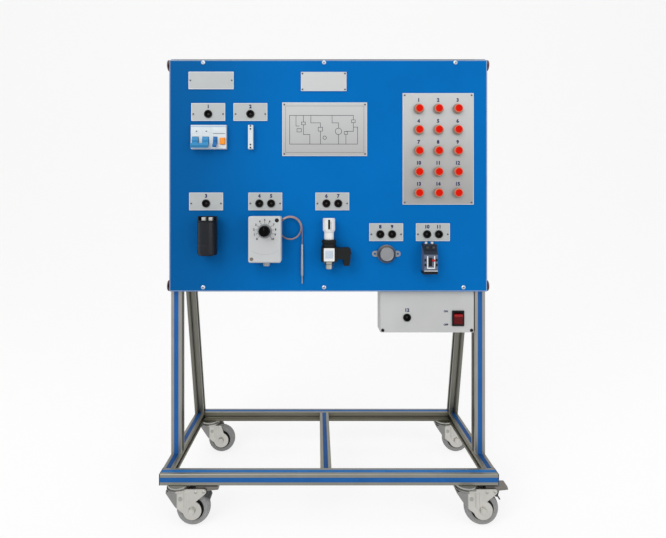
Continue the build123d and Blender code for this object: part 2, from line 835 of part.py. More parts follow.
def panel_screws():
    """Screws of the front panel and of the rear cover, with their slot nuts."""
    head = screw_head_diameter / 2
    top = screw_head_height
    crown = [(head, 0), (head, top - 1.2), (head - 1.8, top), (0, top)]
    made = []
    for x, z in panel_screw_places():
        made.append(turned((x, panel_front_y, z), (0, -1, 0), screw_end(panel_depth) + crown))
    for x in cover_screw_x:
        for z in (lower_rail_z, upper_rail_z):
            made.append(turned((x, post_rear_y + sheet, z), (0, 1, 0), screw_end(sheet) + crown))
    return made


def label_plates():
    """Aluminium plates on the front of the panel."""
    plates = []
    for x, z, width, height in (logo_plate, title_plate, diagram_plate):
        plates.append(block(x, z, width, height, plate_front_y, panel_front_y, 0.6))
    x, z, width, height = fault_plate
    plate = block(x, z, width, height, plate_front_y, panel_front_y, 0.6)
    plates.append(drill(plate, button_places(), bezel_barrel_radius + hole_clearance,
                        plate_front_y, panel_front_y))
    sockets = socket_places()
    first = 0
    for x, z, count in signal_plates:
        plate = block(x, z, signal_plate_size[0], signal_plate_size[1], plate_front_y, panel_front_y, 0.6)
        plates.append(drill(plate, sockets[first:first + count],
                            socket_barrel_radius + hole_clearance, plate_front_y, panel_front_y))
        first += count
    return plates


def signal_socket(x, z, seat_y):
    """Round socket with an open recess, seated on a face."""
    outline = [
        (0, socket_flange - socket_recess_depth), (socket_recess_radius, socket_flange - socket_recess_depth),
        (socket_recess_radius, socket_flange), (socket_flange_radius, socket_flange),
        (socket_flange_radius, 0), (socket_barrel_radius, 0),
        (socket_barrel_radius, -socket_barrel_depth), (0, -socket_barrel_depth),
    ]
    return turned((x, seat_y, z), (0, -1, 0), outline[::-1])


def signal_sockets():
    """Sockets on the panel and the one on the power box."""
    made = [signal_socket(x, z, plate_front_y) for x, z in socket_places()]
    made.append(signal_socket(power_socket[0], power_socket[1], post_front_y))
    return made


def button_bezel(x, z):
    """Collar, barrel and contact block of one push button."""
    bore = button_stem_radius + running_gap
    barrel = bezel_barrel_length
    outline = [
        (bore, bezel_flange), (bezel_radius, bezel_flange), (bezel_radius, 0),
        (bezel_barrel_radius, 0), (bezel_barrel_radius, -barrel), (bore, -barrel),
    ]
    collar = turned((x, plate_front_y, z), (0, -1, 0), outline)
    width, height, depth = contact_block
    back = plate_front_y + barrel
    return [collar, block(x, z, width, height, back, back + depth)]


def button_bezels():
    """Collars and contact blocks of all push buttons."""
    made = []
    for x, z in button_places():
        made += button_bezel(x, z)
    return made


def fault_button(x, z):
    """Round push button cap with its stem."""
    back = bezel_flange + button_travel + button_stop_gap
    front = back + button_cap_thickness
    radius = button_cap_radius
    outline = [
        (0, back - button_stem_length), (button_stem_radius, back - button_stem_length),
        (button_stem_radius, back), (radius, back), (radius, front - 1.5), (radius - 1.0, front - 0.4),
        (radius - 2.4, front), (0, front),
    ]
    return turned((x, plate_front_y, z), (0, -1, 0), outline)


def module_outline(nose_front, back):
    """Side outline of a rail-mounted module: body, shoulders and nose."""
    z = breaker_centre[1]
    body = breaker_body_height / 2
    nose = breaker_nose_height / 2
    shoulder = back - breaker_shoulder_depth
    rail = din_rail_height / 2 + 0.4
    return [
        (back, z - rail), (back + 3.5, z - rail - 1), (back + 3.5, z - rail - 6), (back, z - rail - 8),
        (back, z - body), (shoulder + 6, z - body), (shoulder, z - body + 6), (shoulder, z - nose),
        (nose_front + 1, z - nose), (nose_front, z - nose + 1), (nose_front, z + nose - 1),
        (nose_front + 1, z + nose), (shoulder, z + nose), (shoulder, z + body - 6),
        (shoulder + 6, z + body), (back, z + body), (back, z + rail + 4), (back + 3, z + rail + 3),
        (back + 3, z + rail), (back, z + rail),
    ]


def handle_axis():
    """Height and depth of the axis of the breaker's handles."""
    return breaker_centre[1] - handle_axis_drop, nose_front_y + handle_axis_depth


def toggle(x, width):
    """Drum and lever of one handle, in the lowered position."""
    z, y = handle_axis()
    half = width / 2
    drum = rod((x - half, y, z), (x + half, y, z), handle_drum_radius)
    lean = radians(handle_swing / 2)
    out = (-cos(lean), -sin(lean))
    across = (sin(lean), -cos(lean))
    thick = handle_thickness / 2
    points = []
    for reach, side in ((4, -1), (handle_reach, -0.8), (handle_reach, 0.8), (4, 1)):
        points.append((y + out[0] * reach + across[0] * side * thick,
                       z + out[1] * reach + across[1] * side * thick))
    return drum + side_outline(points, x - half, x + half)


def handle_pocket(x, width):
    """Space that a handle's drum and its swing need in the housing."""
    z, y = handle_axis()
    half = width / 2 + handle_gap
    return rod((x - half, y, z), (x + half, y, z), handle_drum_radius + handle_gap)


def breaker_handle():
    """Two toggles joined by a tie bar."""
    x = breaker_centre[0]
    z, y = handle_axis()
    handle = toggle(x + handle_x[0], handle_width) + toggle(x + handle_x[1], handle_width)
    lean = radians(handle_swing / 2)
    middle = handle_reach - 3.0
    bar_y = y - cos(lean) * middle
    bar_z = z - sin(lean) * middle
    left = x + handle_x[0] - handle_width / 2 - 1
    right = x + handle_x[1] + handle_width / 2 + 1
    tie = Pos((left + right) / 2, bar_y, bar_z) * Rot(degrees(lean), 0, 0) * \
        Box(right - left, 6.0, handle_thickness + 1)
    return handle + tie


def rcd_handle():
    """Toggle of the residual current block."""
    return toggle(breaker_centre[0] + rcd_handle_x, rcd_handle_width)


def breaker_housing():
    """Two-pole breaker and residual current block, side by side on the rail."""
    x, z = breaker_centre
    left = x - breaker_width / 2
    seam = left + breaker_pole_width
    right = x + breaker_width / 2
    outline = module_outline(nose_front_y, rail_front_y)
    poles = side_outline(outline, left, seam - 0.1)
    residual = side_outline(outline, seam + 0.1, right)
    for offset in handle_x:
        poles -= handle_pocket(x + offset, handle_width)
    residual -= handle_pocket(x + rcd_handle_x, rcd_handle_width)
    width, height = test_button_size
    gap = 2 * running_gap
    test_z = z - test_button_drop
    residual -= block(x + test_button_x, test_z, width + gap, height + gap, nose_front_y - 1,
                      nose_front_y + test_button_length + test_button_travel)
    return [poles, residual]


def rcd_test_button():
    """Test button of the residual current block."""
    width, height = test_button_size
    x = breaker_centre[0] + test_button_x
    z = breaker_centre[1] - test_button_drop
    front = nose_front_y - test_button_projection
    body = block(x, z, width, height, front, nose_front_y + test_button_length - 1, 0.8)
    return chamfer(body.faces().sort_by(Axis.Y)[0].edges(), 0.8)


def auxiliary_contact():
    """Slim auxiliary contact on the same rail."""
    outline = module_outline(nose_front_y, rail_front_y)
    half = auxiliary_width / 2
    return side_outline(outline, auxiliary_x - half, auxiliary_x + half)


def wiring_rail():
    """Top-hat rail on stand-offs, with the fault relays and terminals."""
    z = breaker_centre[1]
    front = rail_front_y
    back = front + din_rail_depth
    outer = din_rail_height / 2
    inner = din_rail_web_height / 2
    thick = din_rail_sheet
    half = [
        (front, outer), (front, inner - thick), (back - thick, inner - thick), (back - thick, 0),
        (back, 0), (back, inner), (front + thick, inner), (front + thick, outer),
    ]
    lower = [(y, z - height) for y, height in half]
    upper = [(y, z + height) for y, height in half]
    rail = side_outline(upper, *din_rail_x) + side_outline(lower, *din_rail_x)
    made = [rail]
    for x in stand_off_x:
        made.append(rod((x, panel_back_y, z), (x, back - thick, z), stand_off_radius))
    width, depth, height = relay_size
    for index in range(relay_count):
        x = relay_first_x + index * relay_pitch
        made.append(block(x + width / 2, z, width, height, front - depth, front))
    width, depth, height = terminal_size
    for index in range(terminal_count):
        x = terminal_first_x + index * terminal_pitch
        made.append(block(x + width / 2, z, width, height, front - depth, front))
    return made


def start_capacitor():
    """Capacitor can with its terminals, on a clip."""
    radius = capacitor_diameter / 2
    x = capacitor_x
    y = panel_front_y - capacitor_stand_off - radius
    bottom = capacitor_bottom_z
    top = bottom + capacitor_length
    outline = [
        (0, 0), (radius - capacitor_foot_radius, 0), (radius - 1.2, 1.3), (radius, capacitor_foot_radius),
        (radius, capacitor_length - 3.5), (radius - 0.8, capacitor_length - 2.6),
        (radius, capacitor_length - 1.8), (radius, capacitor_length),
        (radius - 2, capacitor_length), (radius - 2, capacitor_length - 1.4), (0, capacitor_length - 1.4),
    ]
    can = turned((x, y, bottom), (0, 0, 1), outline)
    shroud = rod((x, y, top), (x, y, top + shroud_height), radius)
    shroud -= rod((x, y, top - 1), (x, y, top + shroud_height + 1), radius - shroud_wall)
    shroud -= box((x - radius - 1, x + radius + 1), (y - radius - 1, y), (top - 1, top + shroud_height + 1))
    can += shroud
    width, thick, height = terminal_blade
    base = top - 1.4
    blades = []
    for side in (-1, 1):
        for row in (-1, 1):
            centre_x = x + side * terminal_spacing / 2
            centre_y = y + row * 4.0
            blades.append(box((centre_x - width / 2, centre_x + width / 2),
                              (centre_y - thick / 2, centre_y + thick / 2), (base, base + height)))
    middle = bottom + capacitor_length / 2
    clip = box((x - clip_width / 2, x + clip_width / 2), (y, panel_front_y),
               (middle - clip_height / 2, middle + clip_height / 2))
    clip -= rod((x, y, bottom), (x, y, top), radius)
    return [can, clip] + blades


def coil_points():
    """Points and tangents of the capillary's coil, a quarter turn apart, seen from the front."""
    count = coil_turn_count * 4 + 2
    last_y = panel_front_y - bulb_diameter / 2 - running_gap
    points = []
    for index in range(count + 1):
        share = index / count
        angle = pi - index * pi / 2
        radius = coil_inner_radius + (coil_outer_radius - coil_inner_radius) * share
        y = last_y - coil_pitch * (count - index) / 4
        place = Vector(coil_centre[0] + radius * cos(angle), y, coil_centre[1] + radius * sin(angle))
        tangent = Vector(sin(angle), coil_pitch / (2 * pi * radius), -cos(angle)).normalized()
        points.append((place, tangent))
    return points


def biarc(start, start_tangent, end, end_tangent):
    """Two arcs that leave start and reach end along the given tangents."""
    reach = end - start
    total = start_tangent + end_tangent
    spread = 2 * (1 - start_tangent.dot(end_tangent))
    along = reach.dot(total)
    arm = (-along + sqrt(along * along + spread * reach.dot(reach))) / spread
    first = start + start_tangent * arm
    second = end - end_tangent * arm
    middle = (first + second) * 0.5
    tangent = (second - first).normalized()
    return [TangentArc(start, middle, tangent=start_tangent), TangentArc(middle, end, tangent=tangent)]


def capillary_sensor():
    """Capillary tube in loose turns, its straight end and its bulb."""
    points = coil_points()
    first, first_tangent = points[0]
    entry_z = coil_centre[1] - coil_relief_height / 2
    last, last_tangent = points[-1]
    lead = Vector(first.X, first.Y, entry_z)
    edges = [Line(lead, Vector(first.X, first.Y, first.Z))]
    points[0] = (first, Vector(0, 0, 1))
    points[-1] = (last, Vector(0, 0, -1))
    for (start, tangent), (end, end_tangent) in zip(points, points[1:]):
        edges += biarc(start, tangent, end, end_tangent)
    foot = Vector(last.X, last.Y, bulb_top_z)
    edges.append(Line(last, foot))
    path = Wire([edge for part in edges for edge in part.edges()])
    section = Plane(origin=lead, z_dir=(0, 0, 1)) * RegularPolygon(capillary_diameter / 2, 6)
    tube = sweep(section, path=path)
    bulb = bulb_diameter / 2
    tail = bulb_tail_diameter / 2
    neck = capillary_diameter / 2
    outline = [
        (0, 0), (neck, 0), (bulb, bulb_cone), (bulb, bulb_length - bulb_cone), (tail, bulb_length),
        (tail, bulb_length + bulb_tail_length), (0, bulb_length + bulb_tail_length),
    ]
    return [tube, turned(tuple(foot), (0, 0, -1), outline)]


def coil_gap():
    """Least gap between neighbouring turns of the capillary, measured on points."""
    steps = 24
    count = coil_turn_count * steps + steps // 2
    line = []
    for index in range(count + 1):
        share = index / count
        angle = pi - 2 * pi * index / steps
        radius = coil_inner_radius + (coil_outer_radius - coil_inner_radius) * share
        line.append(Vector(radius * cos(angle), coil_pitch * index / steps, radius * sin(angle)))
    least = min((line[a] - line[b]).length for a in range(len(line)) for b in range(a + steps // 2, len(line)))
    return least - capillary_diameter


def thermostat_housing():
    """Base, cover, dial ring and cable gland of the thermostat."""
    x, z = thermostat_centre
    width, height = thermostat_size
    front = panel_front_y - thermostat_depth
    split = panel_front_y - thermostat_base_depth
    inset = thermostat_base_inset
    base = block(x, z, width - 2 * inset, height - 2 * inset, split, panel_front_y, thermostat_corner)
    right = x + width / 2
    relief = box((right - coil_relief_width, right + 1), (split + 1.5, panel_front_y + 1),
                 (coil_centre[1] - coil_relief_height / 2, coil_centre[1] + coil_relief_height / 2))
    base -= relief
    cover = block(x, z, width, height, front, split, thermostat_corner)
    cover = fillet(cover.faces().sort_by(Axis.Y)[0].edges(), thermostat_edge)
    ring = turned((thermostat_knob_centre[0], front, thermostat_knob_centre[1]), (0, -1, 0), [
        (4.0, 0), (knob_ring_radius, 0), (knob_ring_radius - 0.8, knob_ring_height), (4.0, knob_ring_height),
    ])
    gland_y = (split + panel_front_y) / 2
    gland_top = z - height / 2 + inset
    gland = turned((x, gland_y, gland_top), (0, 0, -1), [
        (gland_bore_radius, 0), (gland_radius, 0), (gland_radius, gland_length - 2),
        (gland_radius - 1, gland_length), (gland_bore_radius, gland_length),
    ])
    return [base, cover, ring, gland]


def thermostat_knob():
    """Fluted knob of the thermostat."""
    x, z = thermostat_knob_centre
    front = panel_front_y - thermostat_depth - knob_ring_height - running_gap
    radius = thermostat_knob_radius
    knob = turned((x, front, z), (0, -1, 0), [
        (0, -knob_ring_height), (3.6, -knob_ring_height), (3.6, 0), (radius, 0),
        (radius - 0.6, thermostat_knob_height - 1.2), (radius - 1.8, thermostat_knob_height),
        (0, thermostat_knob_height),
    ])
    reach = radius + knob_flute_radius * 0.55
    for index in range(knob_flutes):
        angle = 2 * pi * (index + 0.5) / knob_flutes
        centre = (x + reach * cos(angle), z + reach * sin(angle))
        knob -= rod((centre[0], front - 2.5, centre[1]),
                    (centre[0], front - thermostat_knob_height - 1, centre[1]), knob_flute_radius)
    return knob


def pressure_levels():
    """Heights where one section of the pressure switch ends and the next begins."""
    nipple = pressure_nipple_bottom_z
    hexagon = nipple + pressure_nipple_length
    body = hexagon + pressure_hex_height
    ring = body + pressure_body_height
    neck = ring + pressure_ring_height
    cap = neck + pressure_neck_height
    return nipple, hexagon, body, ring, neck, cap


def pressure_axis_y():
    """Depth of the pressure switch's axis."""
    return panel_front_y - pressure_body_size[1] / 2 - 2.0


def pressure_switch_body():
    """Nipple, hexagon, housing, name block, lock ring, neck and bracket."""
    nipple, hexagon, body, ring, neck, cap = pressure_levels()
    x = pressure_x
    y = pressure_axis_y()
    radius = pressure_nipple_radius
    port = turned((x, y, nipple), (0, 0, 1), [
        (2.0, 0), (radius - 1, 0), (radius, 1), (radius, pressure_nipple_length - 1.5),
        (radius - 1, pressure_nipple_length), (2.0, pressure_nipple_length),
    ])
    hexagon_solid = Pos(x, y, hexagon) * extrude(
        RegularPolygon(pressure_hex_flats / 2, 6, major_radius=False), pressure_hex_height)
    width, depth = pressure_body_size
    housing = Pos(x, y, body) * extrude(RectangleRounded(width, depth, 2.5), pressure_body_height)
    label_width, label_height = pressure_label_size
    label_z = body + pressure_body_height / 2
    front = y - depth / 2
    label = block(x, label_z, label_width, label_height, front - pressure_label_proud, front, 1.2)
    grip = pressure_ring_radius
    lock = turned((x, y, ring), (0, 0, 1), [
        (0, 0), (grip - 1.2, 0), (grip, 1.2), (grip, 5.0), (grip - 1.0, 5.6), (grip - 1.0, 7.0),
        (grip, 7.6), (grip, pressure_ring_height - 1.2), (grip - 1.2, pressure_ring_height),
        (0, pressure_ring_height),
    ])
    spindle = pressure_spindle_radius
    top = cap + pressure_cap_height - 4
    stem = turned((x, y, neck), (0, 0, 1), [
        (0, 0), (pressure_neck_radius - 0.5, 0), (pressure_neck_radius, 1.5),
        (pressure_neck_radius, pressure_neck_height - 1), (spindle, pressure_neck_height - 1),
        (spindle, top - neck), (0, top - neck),
    ])
    bracket_half = pressure_bracket_width / 2
    bracket = box((x - bracket_half, x + bracket_half), (y + depth / 2, panel_front_y),
                  (body + 2, body + pressure_body_height - 2))
    return [port, hexagon_solid, housing, label, lock, stem, bracket]


def pressure_switch_cap():
    """Adjusting cap with its scale window, turning on the spindle."""
    cap = pressure_levels()[5]
    x = pressure_x
    y = pressure_axis_y()
    radius = pressure_cap_radius
    bore = pressure_spindle_radius + running_gap
    small = radius - 2.0
    height = pressure_cap_height
    solid = turned((x, y, cap - 1 + running_gap), (0, 0, 1), [
        (bore, 0), (small - 0.4, 0), (small, pressure_cap_taper * 0.4), (radius, pressure_cap_taper + 2),
        (radius, height - 1.2), (radius - 1.2, height), (0, height), (0, height - 2), (bore, height - 2),
    ])
    width, length = pressure_window
    middle = cap + height / 2 + 1
    return solid - block(x, middle, width, length, y - radius - 1, y - bore + 1)


def pressure_switch_plug():
    """Valve plug on the side of the pressure switch, with its gland leg."""
    body = pressure_levels()[2]
    width, height = plug_size
    x = pressure_x + pressure_body_size[0] / 2
    y = pressure_axis_y()
    bottom = body + 4.6
    top = bottom + height
    face = make_face(Polyline([
        (x, 0, bottom), (x + width - plug_leg_width - 1, 0, bottom),
        (x + width - plug_leg_width, 0, bottom - plug_leg_length),
        (x + width - 2, 0, bottom - plug_leg_length), (x + width, 0, bottom + 2),
        (x + width, 0, top - 1.5), (x + width - 1.5, 0, top), (x, 0, top),
    ], close=True))
    plug = Pos(0, y, 0) * extrude(face, plug_depth / 2, both=True)
    leg_x = x + width - plug_leg_width / 2 - 1
    bore = rod((leg_x, y, bottom - plug_leg_length - 1), (leg_x, y, bottom - plug_leg_length + 8),
               plug_cable_radius)
    screw = rod((x + width - 1, y, bottom + height / 2), (x + width + 1.6, y, bottom + height / 2), 2.6)
    return plug - bore + screw


def disc_thermostat():
    """Snap-action disc thermostat with its mounting flange."""
    x, z = disc_centre
    hole_x = (ear_span - ear_width) / 2
    plane = Plane(origin=(x, panel_front_y, z), x_dir=(1, 0, 0), z_dir=(0, -1, 0))
    flange = extrude(plane * SlotOverall(ear_span, ear_width), ear_thickness)
    flange = drill(flange, [(x - hole_x, z), (x + hole_x, z)], ear_hole_radius,
                   panel_front_y - ear_thickness, panel_front_y)
    radius = disc_radius
    face = disc_face_radius
    cup = turned((x, panel_front_y, z), (0, -1, 0), [
        (0, 0), (radius - 0.6, 0), (radius, 0.8), (radius, disc_skirt_height - 1.4),
        (radius - 1.0, disc_skirt_height), (face + 1.4, disc_height - 2.2), (face + 0.9, disc_height - 1.2),
        (face, disc_height), (0, disc_height),
    ])
    return cup + flange


def overload_relay():
    """Stepped relay housing with terminal prongs, on its foot."""
    x = relay_x
    foot_top = relay_bottom_z + overload_foot_height
    top = relay_bottom_z + overload_height
    step = top - overload_step_height
    back = panel_front_y
    front = back - overload_depth
    half = overload_width / 2
    outline = [
        (back, foot_top), (front + 2, foot_top), (front, foot_top + 2), (front, step - 6),
        (front + 2.5, step), (back - overload_step_depth, step), (back - overload_step_depth, top - 2),
        (back - overload_step_depth + 2, top), (back, top),
    ]
    housing = side_outline(outline, x - half, x + half)
    button_x = x + reset_button_offset[0]
    button_z = relay_bottom_z + reset_button_offset[1]
    housing -= rod((button_x, front - 1, button_z), (button_x, front + reset_button_length
                   + reset_button_travel, button_z), reset_button_radius + running_gap)
    foot_front = back - overload_foot_depth
    foot = box((x - half - 0.3, x + half + 0.3), (foot_front, back), (relay_bottom_z, foot_top))
    made = [housing, foot]
    for side in (-1, 1):
        y = back - overload_step_depth / 2
        centre = x + side * prong_offset
        made.append(rod((centre, y, top), (centre, y, top + prong_length), prong_radius))
        terminal_y = back - overload_step_depth
        terminal_z = (step + top) / 2
        made.append(rod((centre, terminal_y, terminal_z), (centre, terminal_y - 2.4, terminal_z), 3.4))
    return made


def relay_reset_button():
    """Reset button of the overload relay."""
    x = relay_x + reset_button_offset[0]
    z = relay_bottom_z + reset_button_offset[1]
    front = panel_front_y - overload_depth
    radius = reset_button_radius
    return turned((x, front, z), (0, -1, 0), [
        (0, 1 - reset_button_length), (radius, 1 - reset_button_length),
        (radius, reset_button_projection - 0.6), (radius - 0.6, reset_button_projection),
        (0, reset_button_projection),
    ])


def power_box_limits():
    """Left, right, bottom and top of the power box."""
    right = half_width - profile - power_box_post_gap
    top = lower_rail_z - half_profile
    return right - power_box_width, right, top - power_box_height, top


def rocker_window(clearance):
    """Space for the rocker inside its bezel."""
    x, z = rocker_centre
    width, height = rocker_opening
    return block(x, z, width + 2 * clearance, height + 2 * clearance,
                 post_front_y - rocker_bezel_thickness - 1, post_front_y + rocker_body_depth - 2)


def power_box_shell():
    """Folded sheet box behind the front plate, open at the front."""
    left, right, bottom, top = power_box_limits()
    front = post_front_y + power_front_thickness
    back = post_front_y + power_box_depth
    wall = power_box_sheet
    shell = box((left, right), (front, back), (bottom, top))
    shell -= box((left + wall, right - wall), (front - 1, back - wall), (bottom + wall, top - wall))
    inlet_z = (bottom + top) / 2
    width, height = inlet_size
    shell -= block(inlet_x, inlet_z, width + 0.6, height + 0.6, back - wall - 1, back + 1)
    vent_width, vent_height = box_vent_size
    vent_left = left + box_vent_start
    for index in range(box_vent_count):
        z = bottom + box_vent_rise + index * box_vent_pitch
        shell -= box((vent_left, vent_left + vent_width), (back - wall - 1, back + 1), (z, z + vent_height))
    return shell


def power_box_front():
    """Front plate of the power box, with holes for the socket and the switch."""
    left, right, bottom, top = power_box_limits()
    x = (left + right) / 2
    z = (bottom + top) / 2
    back = post_front_y + power_front_thickness
    plate = block(x, z, right - left, top - bottom, post_front_y, back, 1.0)
    plate = drill(plate, [power_socket], socket_barrel_radius + hole_clearance, post_front_y, back)
    width, height = rocker_bezel
    plate -= block(rocker_centre[0], rocker_centre[1], width - 2.6, height - 2.6,
                   post_front_y - 1, back + 1)
    return plate


def power_fittings():
    """Switch bezel, front plate screws and mains inlet."""
    left, right, bottom, top = power_box_limits()
    x, z = rocker_centre
    width, height = rocker_bezel
    bezel = block(x, z, width, height, post_front_y - rocker_bezel_thickness, post_front_y, 1.0)
    bezel += block(x, z, width - 3, height - 3, post_front_y, post_front_y + rocker_body_depth)
    bezel -= rocker_window(0)
    made = [bezel]
    for screw_x in (left + box_screw_inset + 1, right - box_screw_inset - 1):
        made.append(turned((screw_x, post_front_y, bottom + box_screw_inset + 1), (0, -1, 0), [
            (0, 0), (3.0, 0), (3.0, 1.0), (1.8, 1.9), (0, 1.9),
        ]))
    back = post_front_y + power_box_depth
    inlet_z = (bottom + top) / 2
    inlet = block(inlet_x, inlet_z, inlet_size[0], inlet_size[1], back - inlet_depth, back, 2.5)
    inlet += block(inlet_x, inlet_z, inlet_flange[0], inlet_flange[1], back, back + 2.5, 3.0)
    inlet -= block(inlet_x, inlet_z, inlet_cavity[0], inlet_cavity[1],
                   back + 2.5 - inlet_cavity_depth, back + 3.5, 2.5)
    made.append(inlet)
    for offset_x, offset_z in ((-7, -1.5), (0, 2.5), (7, -1.5)):
        pin_x = inlet_x + offset_x
        pin_z = inlet_z + offset_z
        mouth = back + 2.5
        made.append(box((pin_x - 1, pin_x + 1), (mouth - inlet_cavity_depth, mouth - inlet_pin_recess),
                        (pin_z - 2, pin_z + 2)))
    return made


def power_rocker():
    """Rocker of the mains switch, with its lower end pressed in."""
    x, z = rocker_centre
    width, height = rocker_opening
    axis_y = post_front_y + rocker_axis_depth
    half = height / 2 - rocker_gap
    crest = rocker_radius
    points = []
    steps = 8
    for index in range(steps + 1):
        share = -1 + 2 * index / steps
        dip = 1.6 * (1 - share * share)
        points.append((-(crest - 5.6) + dip, share * (half - 1.4)))
    points += [(2.0, half - 3.0), (6.5, 3.0), (6.5, -3.0), (2.0, 3.0 - half)]
    body = side_outline(points, -width / 2 + rocker_gap, width / 2 - rocker_gap)
    return Pos(x, axis_y, z) * Rot(rocker_tilt, 0, 0) * body


def power_supply():
    """Supply board inside the power box, with its transformer, reservoirs and posts."""
    left, _, bottom, _ = power_box_limits()
    floor = bottom + power_box_sheet
    base_z = floor + supply_post
    length, depth = supply_base_size
    x0 = left + 10
    y0 = post_front_y + power_front_thickness + 2.5
    top_z = base_z + supply_base_thickness
    made = [box((x0, x0 + length), (y0, y0 + depth), (base_z, top_z))]
    for x in (x0 + 5, x0 + length - 5):
        for y in (y0 + 5, y0 + depth - 5):
            made.append(rod((x, y, floor), (x, y, base_z), 3))
    width, deep, height = transformer_size
    right = x0 + length - 6
    made.append(box((right - width, right), (y0 + 2, y0 + 2 + deep), (top_z, top_z + height)))
    for index in range(3):
        x = x0 + 12 + index * 19
        y = y0 + depth - 11
        made.append(rod((x, y, top_z), (x, y, top_z + reservoir_height), reservoir_radius))
    return made


def write(name, shape):
    """Write one node from a solid or a list of solids."""
    solids = shape if isinstance(shape, (list, tuple)) else [shape]
    flat = [solid for item in solids for solid in item.solids()]
    export_step(Compound(children=flat) if len(flat) > 1 else flat[0], f"parts/{name}.step")


def main():
    """Write every node of the trainer."""
    os.makedirs("parts", exist_ok=True)
    write("base_rails", base_rails())
    write("posts", posts())
    write("struts", struts())
    write("cross_rails", cross_rails())
    write("cover_strips", cover_strips())
    write("end_caps", end_caps())
    write("frame_bolts", frame_bolts())
    write("castor_races", [castor_race(x, y) for x, y, _ in castor_places.values()])
    for key, (x, y, braked) in castor_places.items():
        write(f"castor_fork_{key}", castor_fork(x, y, braked))
        write(f"castor_wheel_{key}", castor_wheel(x, y))
        if braked:
            write(f"brake_pedal_{key}", brake_pedal(x, y))
    write("front_panel", front_panel())
    write("rear_cover", rear_cover())
    write("panel_screws", panel_screws())
    write("label_plates", label_plates())
    write("signal_sockets", signal_sockets())
    write("button_bezels", button_bezels())
    for number, (x, z) in enumerate(button_places(), start=1):
        write(f"fault_button_{number:02d}", fault_button(x, z))
    write("breaker_housing", breaker_housing())
    write("breaker_handle", breaker_handle())
    write("rcd_handle", rcd_handle())
    write("rcd_test_button", rcd_test_button())
    write("auxiliary_contact", auxiliary_contact())
    write("wiring_rail", wiring_rail())
    write("start_capacitor", start_capacitor())
    write("thermostat_housing", thermostat_housing())
    write("thermostat_knob", thermostat_knob())
    write("capillary_sensor", capillary_sensor())
    write("pressure_switch_body", pressure_switch_body())
    write("pressure_switch_cap", pressure_switch_cap())
    write("pressure_switch_plug", pressure_switch_plug())
    write("disc_thermostat", disc_thermostat())
    write("overload_relay", overload_relay())
    write("relay_reset_button", relay_reset_button())
    write("power_box_shell", power_box_shell())
    write("power_box_front", power_box_front())
    write("power_fittings", power_fittings())
    write("power_rocker", power_rocker())
    write("power_supply", power_supply())
    print(f"capillary coil: least gap between turns {coil_gap():.2f} mm")


main()
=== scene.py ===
"""Looks of the air conditioning fault trainer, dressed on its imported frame.

Measures are in millimetres in the part's own frame: X to the right, Y from the front to the
back, Z up, with the origin on the floor under the middle of the base.
"""

from __future__ import annotations

import logging
import math
from collections.abc import Callable, Mapping, Sequence
from dataclasses import dataclass, field
from enum import Enum

import bmesh
import bpy
from mathutils import Matrix, Vector

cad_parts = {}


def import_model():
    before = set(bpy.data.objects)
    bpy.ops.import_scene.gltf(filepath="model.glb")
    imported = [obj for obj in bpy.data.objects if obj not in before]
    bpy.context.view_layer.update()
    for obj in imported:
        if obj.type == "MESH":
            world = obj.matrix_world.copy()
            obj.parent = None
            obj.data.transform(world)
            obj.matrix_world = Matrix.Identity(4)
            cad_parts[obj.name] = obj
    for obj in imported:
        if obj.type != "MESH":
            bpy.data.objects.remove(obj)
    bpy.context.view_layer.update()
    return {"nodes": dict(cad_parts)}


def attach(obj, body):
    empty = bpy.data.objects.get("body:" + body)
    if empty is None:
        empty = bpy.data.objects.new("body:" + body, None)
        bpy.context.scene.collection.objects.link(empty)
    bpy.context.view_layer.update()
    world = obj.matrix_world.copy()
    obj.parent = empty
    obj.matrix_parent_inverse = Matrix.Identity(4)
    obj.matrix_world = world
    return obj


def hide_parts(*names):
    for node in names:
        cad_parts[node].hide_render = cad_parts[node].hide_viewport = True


LOG = logging.getLogger("trainer")
MM = 0.001
ROOT = "trainer"
IMAGE = (666, 538)

Triple = tuple[float, float, float]
Pair = tuple[float, float]
Colour = tuple[float, float, float, float]
Chooser = Callable[[Vector, Vector], int]

WHITE: Colour = (1.0, 1.0, 1.0, 1.0)
FACING = 0.7  # least part of a face's normal along an axis that the face looks along
EDGE_ON = 0.5  # a face's normal has less than this along an axis that it stands along
FIGURE_SHARE = 0.69  # height of a figure as a share of the lettering's size


def linear(colour: Triple) -> Colour:
    """Turn a display colour from 0 to 255 into the renderer's linear colour.

    Args:
        colour: Red, green and blue as a picture holds them.

    Returns:
        Linear red, green and blue, and an alpha of one.
    """
    parts = []
    for channel in colour:
        share = channel / 255
        parts.append(share / 12.92 if share <= 0.04045 else ((share + 0.055) / 1.055) ** 2.4)
    return parts[0], parts[1], parts[2], 1.0


